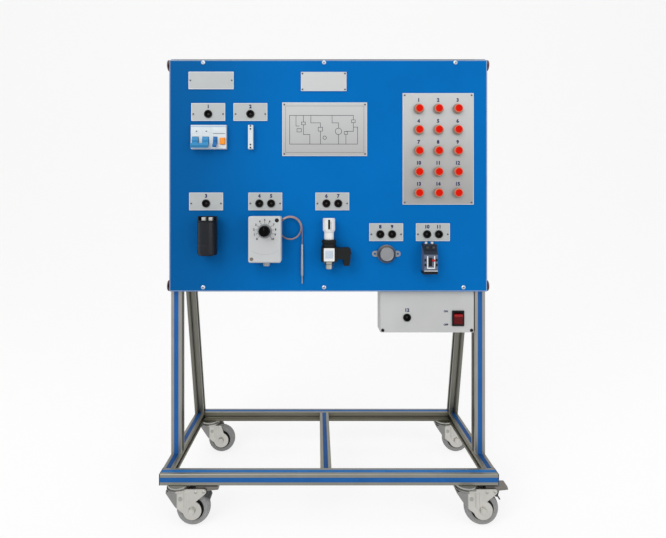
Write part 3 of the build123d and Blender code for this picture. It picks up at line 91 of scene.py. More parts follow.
class Value:
    """A socket of a shader, on which arithmetic adds Math nodes."""

    def __init__(self, shader: Shader, socket: bpy.types.NodeSocket | None) -> None:
        """Hold a socket and the shader that it belongs to."""
        self.shader = shader
        self.socket = socket

    def math(self, operation: str, *terms: object) -> Value:
        """Add a Math node.

        Args:
            operation: Name of the Math node's operation.
            terms: Its inputs, each a value or a number.

        Returns:
            The node's output.
        """
        return self.shader.node("ShaderNodeMath", {"operation": operation}, dict(enumerate(terms)))

    def __add__(self, other: object) -> Value:
        """Sum of this value and another."""
        return self.math("ADD", self, other)

    def __radd__(self, other: object) -> Value:
        """Sum with the number on the left."""
        return self.math("ADD", other, self)

    def __sub__(self, other: object) -> Value:
        """Difference of this value and another."""
        return self.math("SUBTRACT", self, other)

    def __rsub__(self, other: object) -> Value:
        """Difference with the number on the left."""
        return self.math("SUBTRACT", other, self)

    def __mul__(self, other: object) -> Value:
        """Product of this value and another."""
        return self.math("MULTIPLY", self, other)

    def __rmul__(self, other: object) -> Value:
        """Product with the number on the left."""
        return self.math("MULTIPLY", other, self)

    def __gt__(self, other: object) -> Value:
        """One where this value is the greater, else zero."""
        return self.math("GREATER_THAN", self, other)

    def __lt__(self, other: object) -> Value:
        """One where this value is the lesser, else zero."""
        return self.math("LESS_THAN", self, other)

    def __abs__(self) -> Value:
        """Size of this value without its sign."""
        return self.math("ABSOLUTE", self)

    def between(self, low: float, high: float) -> Value:
        """Rise smoothly from zero at low to one at high.

        Args:
            low: Value at which the result starts to rise.
            high: Value at which it reaches one.

        Returns:
            The share, held between zero and one.
        """
        return self.shader.node(
            "ShaderNodeMapRange",
            {"interpolation_type": "SMOOTHSTEP"},
            {"Value": self, "From Min": low, "From Max": high},
        )


class Shader:
    """The node tree of one material or world."""

    def __init__(self, tree: bpy.types.NodeTree) -> None:
        """Start from an empty tree."""
        self.tree = tree
        tree.nodes.clear()

    def node(
        self,
        kind: str,
        settings: Mapping[str, object] | None = None,
        inputs: Mapping[object, object] | None = None,
        output: object = 0,
    ) -> Value:
        """Add a node.

        Args:
            kind: The node's type.
            settings: Properties, such as a Math node's operation, which are set first.
            inputs: Values or links of its sockets, by name or number.
            output: The output that is wanted, by name or number.

        Returns:
            That output, or an empty value where the node has none.
        """
        made = self.tree.nodes.new(kind)
        for key, value in (settings or {}).items():
            setattr(made, key, value)
        for key, value in (inputs or {}).items():
            if isinstance(value, Value):
                self.tree.links.new(value.socket, made.inputs[key])
            else:
                made.inputs[key].default_value = value
        return Value(self, made.outputs[output] if len(made.outputs) else None)

    def place(self, stretch: Triple = (1, 1, 1)) -> Value:
        """Give the place on the object, in metres.

        Args:
            stretch: Factor along each axis.

        Returns:
            The place as a vector.
        """
        start = self.node("ShaderNodeTexCoord", output="Object")
        return self.node("ShaderNodeMapping", None, {"Vector": start, "Scale": stretch})

    def axis(self, name: str) -> Value:
        """Place along one axis of the part, in metres; name is X, Y or Z."""
        start = self.node("ShaderNodeTexCoord", output="Object")
        return self.node("ShaderNodeSeparateXYZ", None, {0: start}, name)

    def seen(self) -> Value:
        """Give one to rays from the eye, straight or by way of metal and glass, else zero.

        Returns:
            One or zero.
        """
        kinds = ("Is Camera Ray", "Is Glossy Ray", "Is Transmission Ray")
        camera, glossy, clear = (self.node("ShaderNodeLightPath", output=kind) for kind in kinds)
        return (camera + glossy + clear) > 0.5

    def noise(self, scale: float, detail: float = 3.0, where: Value | None = None) -> Value:
        """Add a cloudy pattern.

        Args:
            scale: Waves in a metre.
            detail: Number of finer layers.
            where: Place to read it at; the object's own place by default.

        Returns:
            The pattern, from zero to one.
        """
        return self.node(
            "ShaderNodeTexNoise",
            None,
            {"Vector": where or self.place(), "Scale": scale, "Detail": detail},
        )

    def blend(self, share: object, first: object, second: object) -> Value:
        """Mix two colours.

        Args:
            share: Part of the second colour, a value or a number.
            first: Colour where the share is zero.
            second: Colour where it is one.

        Returns:
            The mixed colour.
        """
        return self.node(
            "ShaderNodeMix", {"data_type": "RGBA"}, {0: share, 6: first, 7: second}, 2
        )

    def surface(self, inputs: Mapping[str, object], height: Value | None, depth: float) -> None:
        """End the tree with a surface shader.

        Args:
            inputs: Values or links of the shader's sockets.
            height: Relief of the surface, from zero to one.
            depth: Depth of that relief in millimetres.
        """
        sockets = dict(inputs)
        if height is not None:
            sockets["Normal"] = self.node(
                "ShaderNodeBump", None, {"Height": height, "Distance": depth * MM, "Strength": 1.0}
            )
        shader = self.node("ShaderNodeBsdfPrincipled", None, sockets)
        self.node("ShaderNodeOutputMaterial", None, {"Surface": shader})


@dataclass(frozen=True)
class Finish:
    """A finish with a colour that varies a little and a fine grain."""

    name: str
    colour: Triple
    roughness: float = 0.45
    metallic: float = 0.0
    cloud: float = 0.06
    grain: float = 2600.0
    depth: float = 0.02
    specular: float = 0.28
    cloud_scale: float = 24.0
    wear_scale: float = 90.0

    def shades(self, shader: Shader, mask: Value) -> Value:
        """Vary the colour between a darker and a lighter shade.

        Args:
            shader: The tree to build in.
            mask: Zero for the darker shade and one for the lighter.

        Returns:
            The varied colour.
        """
        base = linear(self.colour)
        dark = tuple(part * (1 - self.cloud) for part in base[:3]) + (1.0,)
        light = tuple(min(1.0, part * (1 + self.cloud)) for part in base[:3]) + (1.0,)
        return shader.blend(mask, dark, light)

    def build(self, shader: Shader) -> None:
        """Build the finish's nodes in a shader.

        Args:
            shader: The tree to build in.
        """
        cloud = shader.noise(self.cloud_scale, 4.0).between(0.3, 0.7)
        grain = shader.noise(self.grain, 2.0)
        worn = shader.noise(self.wear_scale, 5.0).between(0.35, 0.75)
        roughness = self.roughness + (worn - 0.5) * 0.10 + (grain - 0.5) * 0.06
        shader.surface(
            {
                "Base Color": self.shades(shader, cloud * 0.7 + grain * 0.3),
                "Roughness": roughness,
                "Metallic": self.metallic,
                "Specular IOR Level": self.specular,
            },
            grain,
            self.depth,
        )

    def material(self) -> bpy.types.Material:
        """Give the material of this finish, made once and named apart from the frame's own.

        Returns:
            The material.
        """
        title = f"{self.name}_finish"
        found = bpy.data.materials.get(title)
        if found is None:
            found = bpy.data.materials.new(title)
            found.use_nodes = True
            self.build(Shader(found.node_tree))
            found.diffuse_color = linear(self.colour)
        return found


@dataclass(frozen=True)
class Enamel(Finish):
    """Baked paint on sheet metal, with orange peel, a slow change of tone, and painted shade on the
    left where a side colour is given.
    """

    side_colour: Triple | None = None
    fade: Pair = (-0.30, -0.06)
    peel_scale: float = 420.0
    fine_scale: float = 3200.0
    tone_scale: float = 9.0

    def build(self, shader: Shader) -> None:
        """Build the finish's nodes in a shader.

        Args:
            shader: The tree to build in.
        """
        peel = shader.noise(self.peel_scale, 2.0)
        fine = shader.noise(self.fine_scale, 1.0)
        # Painted shade: the side colour darkens the left part and fades out towards the middle.
        across = shader.axis("X").between(*self.fade)
        tone = self.shades(shader, shader.noise(self.tone_scale, 3.0).between(0.25, 0.75))
        side = linear(self.side_colour or self.colour)
        shader.surface(
            {
                "Base Color": shader.blend(across, side, tone),
                "Roughness": self.roughness + (shader.noise(30.0, 4.0) - 0.5) * 0.10,
                "Specular IOR Level": self.specular,
            },
            peel * 0.7 + fine * 0.3,
            self.depth,
        )


class Grain(Enum):
    """Direction in which a metal's fine lines run."""

    ACROSS = (3.0, 400.0, 400.0)
    DEEP = (400.0, 3.0, 400.0)
    UPRIGHT = (400.0, 400.0, 3.0)
    NONE = (60.0, 60.0, 60.0)


@dataclass(frozen=True)
class Metal(Finish):
    """Bare or plated metal with fine lines from rolling, drawing or brushing."""

    lines: Grain = Grain.NONE
    metallic: float = 1.0
    cloud: float = 0.10
    line_scale: float = 9.0
    smudge_scale: float = 34.0
    spot_scale: float = 700.0

    def drawn(self, shader: Shader) -> Value:
        """Give the pattern of fine lines, from zero to one."""
        return self.along(shader, self.lines)

    def along(self, shader: Shader, lines: Grain) -> Value:
        """Give fine lines in one direction, from zero to one."""
        return shader.noise(self.line_scale, 3.0, shader.place(lines.value))

    def relief(self, shader: Shader, drawn: Value) -> Value:
        """Give the relief that the lines and small spots make."""
        return drawn * 0.8 + shader.noise(self.spot_scale, 2.0) * 0.2

    def build(self, shader: Shader) -> None:
        """Build the finish's nodes in a shader.

        Args:
            shader: The tree to build in.
        """
        drawn = self.drawn(shader)
        smudge = shader.noise(self.smudge_scale, 5.0).between(0.35, 0.7)
        shader.surface(
            {
                "Base Color": self.shades(shader, drawn * 0.6 + smudge * 0.4),
                "Roughness": self.roughness + (drawn - 0.5) * 0.16 + smudge * 0.08,
                "Metallic": self.metallic,
            },
            self.relief(shader, drawn),
            self.depth,
        )


@dataclass(frozen=True)
class BaseMetal(Metal):
    """Extruded metal whose die lines follow the base's long rails and its short ones."""

    side_x: float = 0.279
    centre: Pair = (-0.016, 0.006)
    short_y: float = 0.110

    def drawn(self, shader: Shader) -> Value:
        """Give die lines that run along each rail, from zero to one.

        Args:
            shader: The tree to build in.

        Returns:
            The pattern.
        """
        x = shader.axis("X")
        inner = (x > self.centre[0]) * (x < self.centre[1])
        short = (abs(shader.axis("Y")) < self.short_y) * ((abs(x) > self.side_x) + inner)
        across = self.along(shader, Grain.ACROSS)
        return across * (1 - short) + self.along(shader, Grain.DEEP) * short

    def relief(self, shader: Shader, drawn: Value) -> Value:
        """Give the relief, which the lines alone make here."""
        return drawn


@dataclass(frozen=True)
class PlateMetal(Metal):
    """Brushed plate with painted light that makes it lighter towards the panel's top."""

    high_colour: Triple = (190, 192, 192)
    rise: Pair = (0.56, 0.80)

    def shades(self, shader: Shader, mask: Value) -> Value:
        """Vary the colour with the grain, and paint light on it higher on the panel.

        Args:
            shader: The tree to build in.
            mask: Zero for the darker shade and one for the lighter.

        Returns:
            The varied colour.
        """
        # Painted light: the plate turns lighter from the lower to the upper height.
        lit_share = shader.axis("Z").between(*self.rise)
        return shader.blend(lit_share, super().shades(shader, mask), linear(self.high_colour))


@dataclass(frozen=True)
class ForkMetal(Metal):
    """Plated sheet of a fork, with painted shade where it bends round to its web."""

    bend: float = 0.0
    bend_width: float = 0.0012
    web_colour: Triple = (142, 142, 140)

    def shades(self, shader: Shader, mask: Value) -> Value:
        """Vary the colour with the grain, and paint shade beside the bend.

        Args:
            shader: The tree to build in.
            mask: Zero for the darker shade and one for the lighter.

        Returns:
            The varied colour.
        """
        # Painted shade: the web colour darkens the sheet left of the bend.
        flat = shader.axis("X").between(self.bend - self.bend_width, self.bend + self.bend_width)
        return shader.blend(flat, linear(self.web_colour), super().shades(shader, mask))


@dataclass(frozen=True)
class Rubber(Finish):
    """Moulded tyre rubber with dust in its pores and scuffs on the tread."""

    dust: Triple = (150, 150, 147)
    pore_scale: float = 1500.0
    dust_scale: float = 60.0

    def build(self, shader: Shader) -> None:
        """Build the finish's nodes in a shader.

        Args:
            shader: The tree to build in.
        """
        pores = shader.noise(self.pore_scale, 3.0)
        dusty = shader.noise(self.dust_scale, 6.0).between(0.45, 0.75)
        colour = shader.blend(dusty * 0.5, self.shades(shader, pores), linear(self.dust))
        shader.surface(
            {
                "Base Color": colour,
                "Roughness": self.roughness + dusty * 0.12,
                "Specular IOR Level": self.specular,
            },
            pores,
            self.depth,
        )


class Finishes:
    """Every finish of the trainer."""

    profile_base = BaseMetal("profile_base", (141, 140, 132), 0.40, depth=0.012)
    profile_upright = Metal("profile_upright", (124, 123, 115), 0.40, depth=0.012,
                            lines=Grain.UPRIGHT)
    # Lighter copy of the posts' metal for their front faces: painted light.
    profile_front = Metal("profile_front", (152, 151, 147), 0.40, depth=0.012, lines=Grain.UPRIGHT)
    # Darker copy of the base's metal: painted shade on the rear rail's front and the side rails'
    # inner faces.
    profile_shade = BaseMetal("profile_shade", (112, 110, 98), 0.42, depth=0.012)
    profile_across = Metal("profile_across", (124, 123, 115), 0.40, depth=0.012,
                           lines=Grain.ACROSS)
    strip = Finish("strip_blue", (34, 96, 164), 0.45, grain=900.0, depth=0.01, cloud=0.10,
                   specular=0.12)
    # Darker copy of the strip blue: painted shade on the short rails' strips.
    strip_deep = Finish("strip_deep", (26, 76, 134), 0.45, grain=900.0, depth=0.01, cloud=0.10,
                        specular=0.1)
    # Lighter copy of the strip blue: painted light on the front rail's top strip.
    strip_light = Finish("strip_light", (40, 110, 176), 0.45, grain=900.0, depth=0.01, cloud=0.12,
                         specular=0.12)
    cap = Finish("cap_dark", (52, 58, 72), 0.55, grain=1800.0, depth=0.04, specular=0.15)
    cap_light = Finish("cap_light", (176, 180, 182), 0.5, grain=1800.0, depth=0.03)
    knob = Finish("knob_brown", (122, 84, 78), 0.42, grain=1800.0, depth=0.03)
    shank = Metal("shank_dark", (64, 64, 66), 0.40, depth=0.01)
    zinc = Metal("zinc", (168, 168, 163), 0.36, depth=0.02)
    # Darker copy of the fork's plating: painted shade on the web.
    fork_web = Metal("fork_web", (138, 138, 134), 0.44, depth=0.025)
    tyre = Rubber("tyre", (150, 150, 150), 0.66, depth=0.05, specular=0.2)
    rim_dark = Finish("rim_dark", (26, 27, 28), 0.46, grain=1400.0, depth=0.03, specular=0.15)
    hub = Finish("hub_grey", (140, 142, 140), 0.46, grain=1400.0, depth=0.03)
    pedal = Metal("pedal_zinc", (126, 122, 118), 0.42, depth=0.02)
    claw = Finish("claw_dark", (58, 60, 60), 0.5, grain=1200.0, depth=0.03)
    # The panel's side colour is painted shade on its left part.
    panel = Enamel("panel_blue", (3, 106, 182), 0.5, depth=0.012, cloud=0.04, specular=0.03,
                   side_colour=(7, 90, 154))
    # Pale blue painted highlight for the panel's edges and rim line.
    panel_edge = Enamel("panel_edge", (150, 168, 190), 0.45, depth=0.01, cloud=0.05)
    cover = Enamel("cover_grey", (190, 192, 190), 0.5, depth=0.02)
    screw = Metal("screw_zinc", (188, 196, 208), 0.36, depth=0.01)
    plate = PlateMetal("plate", (156, 155, 154), 0.50, metallic=0.35, cloud=0.05, depth=0.008,
                       lines=Grain.ACROSS)
    plate_pale = Metal("plate_pale", (174, 178, 178), 0.54, metallic=0.25, cloud=0.05, depth=0.008,
                       lines=Grain.ACROSS)
    plate_screw = Metal("plate_screw", (104, 104, 108), 0.40, depth=0.01)
    plate_edge = Metal("plate_edge", (206, 209, 212), 0.42, metallic=0.35, cloud=0.04, depth=0.008)
    ink = Finish("ink_navy", (28, 32, 84), 0.6, grain=2400.0, depth=0.01, specular=0.1)
    # Grey print, also used as painted shade in the screws' slots.
    ink_grey = Finish("ink_grey", (48, 50, 57), 0.6, grain=2400.0, depth=0.01, specular=0.1)
    socket = Finish("socket_black", (20, 21, 23), 0.36, grain=1500.0, depth=0.01, specular=0.2)
    # Darker copy of the socket's black: painted shade in the recess.
    socket_inner = Finish("socket_inner", (8, 8, 9), 0.5, grain=1500.0, depth=0.01, specular=0.1)
    contact = Metal("contact_plated", (72, 70, 68), 0.40, depth=0.01)
    bezel = Finish("bezel_grey", (150, 148, 142), 0.42, grain=1500.0, depth=0.015)
    button = Finish("button_red", (214, 22, 4), 0.42, grain=1200.0, depth=0.01, cloud=0.10,
                    specular=0.06)
    # Lighter copy of the button's red: painted highlight on the cap's rim.
    button_rim = Finish("button_rim", (206, 128, 98), 0.42, grain=1200.0, depth=0.01, specular=0.2)
    block = Finish("block_black", (30, 31, 33), 0.5, grain=1300.0, depth=0.02, specular=0.15)
    breaker = Finish("breaker_white", (212, 220, 224), 0.46, grain=1900.0, depth=0.03, cloud=0.03)
    # Greyer copy of the breaker's white: painted shade on its top and bottom faces; also the plain
    # grey of the pressure switch's name face.
    breaker_grey = Finish("breaker_grey", (190, 202, 214), 0.46, grain=1900.0, depth=0.03,
                          cloud=0.03)
    breaker_blue = Finish("breaker_blue", (150, 184, 214), 0.46, grain=1900.0, depth=0.02,
                          cloud=0.03)
    handle = Finish("handle_blue", (54, 138, 190), 0.38, grain=1500.0, depth=0.01, specular=0.2)
    handle_navy = Finish("handle_navy", (34, 104, 166), 0.38, grain=1500.0, depth=0.01,
                         specular=0.2)
    test = Finish("test_orange", (243, 146, 42), 0.42, grain=1500.0, depth=0.01)
    capacitor = Finish("capacitor_black", (24, 27, 33), 0.24, grain=500.0, depth=0.02,
                       specular=0.2)
    blade = Metal("blade_tinned", (196, 196, 192), 0.32, depth=0.01, lines=Grain.UPRIGHT)
    thermostat = Finish("thermostat_white", (193, 195, 196), 0.5, grain=1700.0, depth=0.05,
                        cloud=0.03)
    thermostat_base = Finish("thermostat_base", (166, 169, 172), 0.5, grain=1700.0, depth=0.05)
    thermostat_gland = Finish("thermostat_gland", (176, 178, 180), 0.46, grain=1500.0, depth=0.02)
    dial = Finish("dial_grey", (140, 143, 146), 0.45, grain=1500.0, depth=0.02)
    knob_black = Finish("knob_black", (3, 3, 3), 0.45, grain=1500.0, depth=0.03, specular=0.05)
    copper = Metal("copper", (160, 137, 132), 0.38, depth=0.012, cloud=0.14)
    bulb = Metal("bulb_copper", (158, 160, 170), 0.40, depth=0.012, cloud=0.14)
    switch_black = Finish("switch_black", (26, 27, 27), 0.46, grain=1500.0, depth=0.03,
                          specular=0.15)
    switch_white = Finish("switch_white", (228, 229, 229), 0.46, grain=1500.0, depth=0.02,
                          cloud=0.03)
    port = Metal("port_plated", (168, 168, 162), 0.34, depth=0.015)
    disc = Metal("disc_aluminium", (138, 140, 143), 0.42, depth=0.015)
    disc_ring = Metal("disc_ring", (124, 114, 106), 0.42, depth=0.015)
    relay = Finish("relay_grey", (92, 102, 122), 0.46, grain=1500.0, depth=0.03)
    relay_dark = Finish("relay_dark", (30, 38, 52), 0.38, grain=900.0, depth=0.02, specular=0.2)
    relay_base = Finish("relay_base", (26, 27, 30), 0.5, grain=1500.0, depth=0.03, specular=0.15)
    reset = Finish("reset_red", (190, 34, 34), 0.4, grain=1500.0, depth=0.01, specular=0.2)
    box = Enamel("box_grey", (184, 185, 184), 0.5, depth=0.02)
    box_front = Enamel("box_front", (194, 195, 194), 0.5, depth=0.015)
    fitting = Finish("fitting_black", (20, 20, 22), 0.42, grain=1500.0, depth=0.02, specular=0.15)
    rocker = Finish("rocker_red", (94, 12, 16), 0.34, grain=1200.0, depth=0.01, specular=0.14)
    # Lighter copy of the rocker's red: painted light on its raised upper end.
    rocker_light = Finish("rocker_light", (160, 22, 24), 0.34, grain=1200.0, depth=0.01,
                          specular=0.25)
    board = Finish("board_green", (40, 96, 62), 0.5, grain=1500.0, depth=0.02)


class Shape:
    """A mesh being made, in millimetres in the part's frame."""

    def __init__(self) -> None:
        """Start with nothing."""
        self.mesh = bmesh.new()

    def skin(self, rings: Sequence[list[bmesh.types.BMVert]]) -> Shape:
        """Join rings of points with faces, and close the first and the last.

        Args:
            rings: Rings with the same number of points.

        Returns:
            This shape.
        """
        steps = len(rings[0])
        for lower, upper in zip(rings, rings[1:]):
            for step in range(steps):
                after = (step + 1) % steps
                self.mesh.faces.new((lower[step], lower[after], upper[after], upper[step]))
        self.mesh.faces.new(rings[0][::-1])
        self.mesh.faces.new(rings[-1])
        return self

    def lathe(
        self,
        outline: Sequence[Pair],
        origin: Triple,
        axis: Triple = (0, -1, 0),
        steps: int = 40,
    ) -> Shape:
        """Turn an outline about an axis.

        Args:
            outline: Radius and height along the axis of each point.
            origin: Where the axis starts.
            axis: Its direction.
            steps: Faces in one turn.

        Returns:
            This shape.
        """
        spin = Vector((0, 0, 1)).rotation_difference(Vector(axis).normalized())
        rings = []
        for radius, height in outline:
            ring = []
            for step in range(steps):
                angle = 2 * math.pi * step / steps
                point = Vector((radius * math.cos(angle), radius * math.sin(angle), height))
                ring.append(self.mesh.verts.new(spin @ point + Vector(origin)))
            rings.append(ring)
        return self.skin(rings)

    def slab(self, low: Triple, high: Triple, edge: float = 0.0) -> Shape:
        """Add a block between two corners.

        Args:
            low: Lowest corner.
            high: Highest corner.
            edge: Size of the rounding on its edges.

        Returns:
            This shape.
        """
        middle = (Vector(low) + Vector(high)) / 2
        size = Vector(high) - Vector(low)
        matrix = Matrix.Translation(middle) @ Matrix.Diagonal((*size, 1))
        made = bmesh.ops.create_cube(self.mesh, size=1.0, matrix=matrix)
        if edge:
            edges = list(dict.fromkeys(e for vertex in made["verts"] for e in vertex.link_edges))
            bmesh.ops.bevel(
                self.mesh, geom=edges, offset=edge, segments=2, profile=0.5, affect="EDGES"
            )
        return self

    def tube(self, points: Sequence[Vector], radii: Sequence[float], sides: int = 12) -> Shape:
        """Add a tube along points.

        Args:
            points: Points on its centre line.
            radii: Radius at each point.
            sides: Faces round it.

        Returns:
            This shape.
        """
        rings = []
        up = Vector((0.13, 0.97, 0.21))
        for index, point in enumerate(points):
            before = points[max(index - 1, 0)]
            after = points[min(index + 1, len(points) - 1)]
            along = (after - before).normalized()
            side = along.cross(up).normalized()
            up = side.cross(along).normalized()
            ring = []
            for step in range(sides):
                angle = 2 * math.pi * step / sides
                offset = (side * math.cos(angle) + up * math.sin(angle)) * radii[index]
                ring.append(self.mesh.verts.new(point + offset))
            rings.append(ring)
        return self.skin(rings)

    def frame(self, centre: Pair, size: Pair, width: float, front: float, back: float) -> Shape:
        """Add a flat rectangular frame on an upright face.

        Args:
            centre: X and Z of its middle.
            size: Outer width and height.
            width: Width of its band.
            front: Y of its front.
            back: Y of its back.

        Returns:
            This shape.
        """
        left, right = centre[0] - size[0] / 2, centre[0] + size[0] / 2
        low, high = centre[1] - size[1] / 2, centre[1] + size[1] / 2
        self.slab((left, front, low), (right, back, low + width))
        self.slab((left, front, high - width), (right, back, high))
        self.slab((left, front, low + width), (left + width, back, high - width))
        return self.slab((right - width, front, low + width), (right, back, high - width))

    def stroke(self, points: Sequence[Pair], width: float, front: float, back: float) -> Shape:
        """Draw a line of straight runs on an upright face.

        Args:
            points: X and Z of its corners.
            width: Its width.
            front: Y of its front.
            back: Y of its back.

        Returns:
            This shape.
        """
        for start, end in zip(points, points[1:]):
            run = Vector((end[0] - start[0], 0, end[1] - start[1]))
            middle = Vector(((start[0] + end[0]) / 2, (front + back) / 2, (start[1] + end[1]) / 2))
            size = (run.length + width, back - front, width)
            matrix = (
                Matrix.Translation(middle)
                @ Matrix.Rotation(-math.atan2(run.z, run.x), 4, "Y")
                @ Matrix.Diagonal((*size, 1))
            )
            bmesh.ops.create_cube(self.mesh, size=1.0, matrix=matrix)
        return self

    def words(
        self, text: str, height: float, centre: Pair, front: float, back: float, bold: float = 0.02
    ) -> Shape:
        """Add figures on an upright face.

        Args:
            text: The figures.
            height: Their height.
            centre: X and Z of their middle.
            front: Y of their front.
            back: Y of their back.
            bold: Widening of their strokes.

        Returns:
            This shape.
        """
        curve = bpy.data.curves.new("figures", "FONT")
        curve.body = text
        curve.size = height / FIGURE_SHARE
        curve.align_x = "CENTER"
        curve.offset = bold * height
        curve.extrude = (back - front) / 2
        curve.resolution_u = 3
        holder = bpy.data.objects.new("figures", curve)
        bpy.context.scene.collection.objects.link(holder)
        bpy.context.view_layer.update()
        mesh = bpy.data.meshes.new_from_object(
            holder.evaluated_get(bpy.context.evaluated_depsgraph_get())
        )
        place = Vector((centre[0], (front + back) / 2, centre[1] - height / 2))
        mesh.transform(Matrix.Translation(place) @ Matrix.Rotation(math.pi / 2, 4, "X"))
        self.mesh.from_mesh(mesh)
        bpy.data.objects.remove(holder)
        bpy.data.curves.remove(curve)
        bpy.data.meshes.remove(mesh)
        return self

    def piece(self, name: str, finish: Finish, slot: str, body: str = ROOT) -> bpy.types.Object:
        """Turn the shape into a piece that rides on a body.

        Args:
            name: The piece's name.
            finish: Its finish.
            slot: The record's material slot; it is not used.
            body: The body that it rides on.

        Returns:
            The piece.
        """
        bmesh.ops.recalc_face_normals(self.mesh, faces=self.mesh.faces)
        self.mesh.transform(Matrix.Scale(MM, 4))
        data = bpy.data.meshes.new(name)
        self.mesh.to_mesh(data)
        self.mesh.free()
        smooth(data)
        data.materials.append(finish.material())
        made = bpy.data.objects.new(name, data)
        bpy.context.scene.collection.objects.link(made)
        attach(made, body)
        LOG.info("made %s with %d faces", name, len(data.polygons))
        return made


def smooth(mesh: bpy.types.Mesh, angle: float = 32.0) -> None:
    """Shade a mesh smoothly, and keep edges above an angle in degrees sharp."""
    mesh.polygons.foreach_set("use_smooth", [True] * len(mesh.polygons))
    mesh.set_sharp_from_angle(angle=math.radians(angle))


@dataclass
class Dresser:
    """Puts finishes on the frame's nodes."""

    nodes: Mapping[str, bpy.types.Object]

    def dress(
        self, name: str, finishes: Sequence[Finish], choose: Chooser | None = None
    ) -> None:
        """Give a node its finishes.

        Args:
            name: The node.
            finishes: Its finishes.
            choose: Picks a finish by number from a face's middle, in millimetres, and its normal.
        """
        node = self.nodes[name]
        mesh = node.data
        mesh.materials.clear()
        for finish in finishes:
            mesh.materials.append(finish.material())
        for polygon in mesh.polygons:
            picked = choose(polygon.center / MM, polygon.normal) if choose else 0
            polygon.material_index = picked
        smooth(mesh)
        LOG.info("dressed %s", name)


class Assembly:
    """A sub-assembly, which dresses nodes of the frame and adds pieces of its own."""

    def dress(self, dresser: Dresser) -> None:
        """Give the sub-assembly's nodes their finishes."""

    def build(self) -> None:
        """Add the sub-assembly's own pieces, where it has any."""


@dataclass(frozen=True)
class Lamp:
    """A soft square lamp, with its place and its side in metres and its power in watts."""

    name: str
    place: Triple
    size: float
    power: float


@dataclass
class Studio:
    """Camera, floor, backdrop and lamps, in metres but for the eye and the sensor."""

    eye: Triple = (-20.3, -927.0, 563.5)
    focal_pixels: float = 452.0
    principal: Pair = (317.5, 207.0)
    sensor: float = 36.0
    floor_half: float = 4.0
    backdrop_y: float = 2.6
    backdrop_height: float = 4.5
    curve_radius: float = 1.4
    curve_steps: int = 12
    floor_drop: float = 0.0002
    floor_colour: Triple = (248, 248, 248)
    floor_white: float = 0.8
    paper_scale: float = 6.0
    fold_angle: float = 60.0
    world_strength: float = 0.48
    aim: Triple = (0.0, 0.0, 0.5)
    lamps: Sequence[Lamp] = (
        Lamp("key", (-1.6, -2.4, 2.3), 2.2, 44.0),
        Lamp("fill", (2.2, -2.2, 1.3), 2.2, 22.0),
        Lamp("top", (0.0, -0.3, 3.0), 2.4, 18.0),
    )

    def camera(self) -> None:
        """Set the camera at the photograph's viewing place."""
        data = bpy.data.cameras.new("camera")
        data.sensor_width = self.sensor
        data.lens = self.focal_pixels * self.sensor / IMAGE[0]
        data.shift_x = (IMAGE[0] / 2 - self.principal[0]) / IMAGE[0]
        data.shift_y = (self.principal[1] - IMAGE[1] / 2) / IMAGE[0]
        data.clip_start = 0.01
        camera = bpy.data.objects.new("camera", data)
        camera.location = Vector(self.eye) * MM
        camera.rotation_euler = (math.pi / 2, 0, 0)
        bpy.context.scene.collection.objects.link(camera)
        bpy.context.scene.camera = camera
        LOG.info("set the camera")

    def backdrop(self) -> None:
        """Lay a pale floor that curves up into a backdrop."""
        mesh = bmesh.new()
        line = [(-self.floor_half, 0.0), (0.0, 0.0), (self.backdrop_y - self.curve_radius, 0.0)]
        for step in range(1, self.curve_steps + 1):
            angle = math.pi / 2 * step / self.curve_steps
            line.append(
                (
                    self.backdrop_y - self.curve_radius + self.curve_radius * math.sin(angle),
                    self.curve_radius * (1 - math.cos(angle)),
                )
            )
        line.append((self.backdrop_y, self.backdrop_height))
        half = self.floor_half * 1.5
        rows = [
            [mesh.verts.new((x, y, z - self.floor_drop)) for x in (-half, half)] for y, z in line
        ]
        for lower, upper in zip(rows, rows[1:]):
            mesh.faces.new((lower[0], lower[1], upper[1], upper[0]))
        data = bpy.data.meshes.new("floor")
        mesh.to_mesh(data)
        mesh.free()
        smooth(data, self.fold_angle)
        material = bpy.data.materials.new("floor_paper")
        material.use_nodes = True
        shader = Shader(material.node_tree)
        paper = shader.noise(self.paper_scale)
        shades = Finish("paper", self.floor_colour, cloud=0.01).shades(shader, paper)
        lit = shader.node("ShaderNodeBsdfDiffuse", None, {"Color": shades, "Roughness": 0.9})
        white = shader.node("ShaderNodeEmission", None, {"Color": WHITE, "Strength": 1.0})
        share = shader.seen() * self.floor_white
        both = shader.node("ShaderNodeMixShader", None, {0: share, 1: lit, 2: white})
        shader.node("ShaderNodeOutputMaterial", None, {"Surface": both})
        data.materials.append(material)
        floor = bpy.data.objects.new("floor", data)
        bpy.context.scene.collection.objects.link(floor)
        LOG.info("laid the floor")

    def hang(self, lamp: Lamp) -> None:
        """Hang a lamp that faces the object's middle.

        Args:
            lamp: The lamp.
        """
        data = bpy.data.lights.new(lamp.name, "AREA")
        data.shape = "SQUARE"
        data.size = lamp.size
        data.energy = lamp.power
        hung = bpy.data.objects.new(lamp.name, data)
        hung.location = lamp.place
        facing = Vector(self.aim) - Vector(lamp.place)
        hung.rotation_euler = facing.to_track_quat("-Z", "Y").to_euler()
        bpy.context.scene.collection.objects.link(hung)

    def world(self) -> None:
        """Light the scene evenly, and show a white background."""
        world = bpy.data.worlds.new("studio")
        world.use_nodes = True
        bpy.context.scene.world = world
        shader = Shader(world.node_tree)
        soft = {"Color": WHITE, "Strength": self.world_strength}
        light = shader.node("ShaderNodeBackground", None, soft)
        plain = shader.node("ShaderNodeBackground", None, {"Color": WHITE, "Strength": 1.0})
        both = shader.node("ShaderNodeMixShader", None, {0: shader.seen(), 1: light, 2: plain})
        shader.node("ShaderNodeOutputWorld", None, {"Surface": both})

    def build(self) -> None:
        """Set up the camera, the floor and the light."""
        self.camera()
        self.backdrop()
        self.world()
        for lamp in self.lamps:
            self.hang(lamp)
        bpy.context.scene.view_settings.view_transform = "Standard"
        LOG.info("lit the scene")


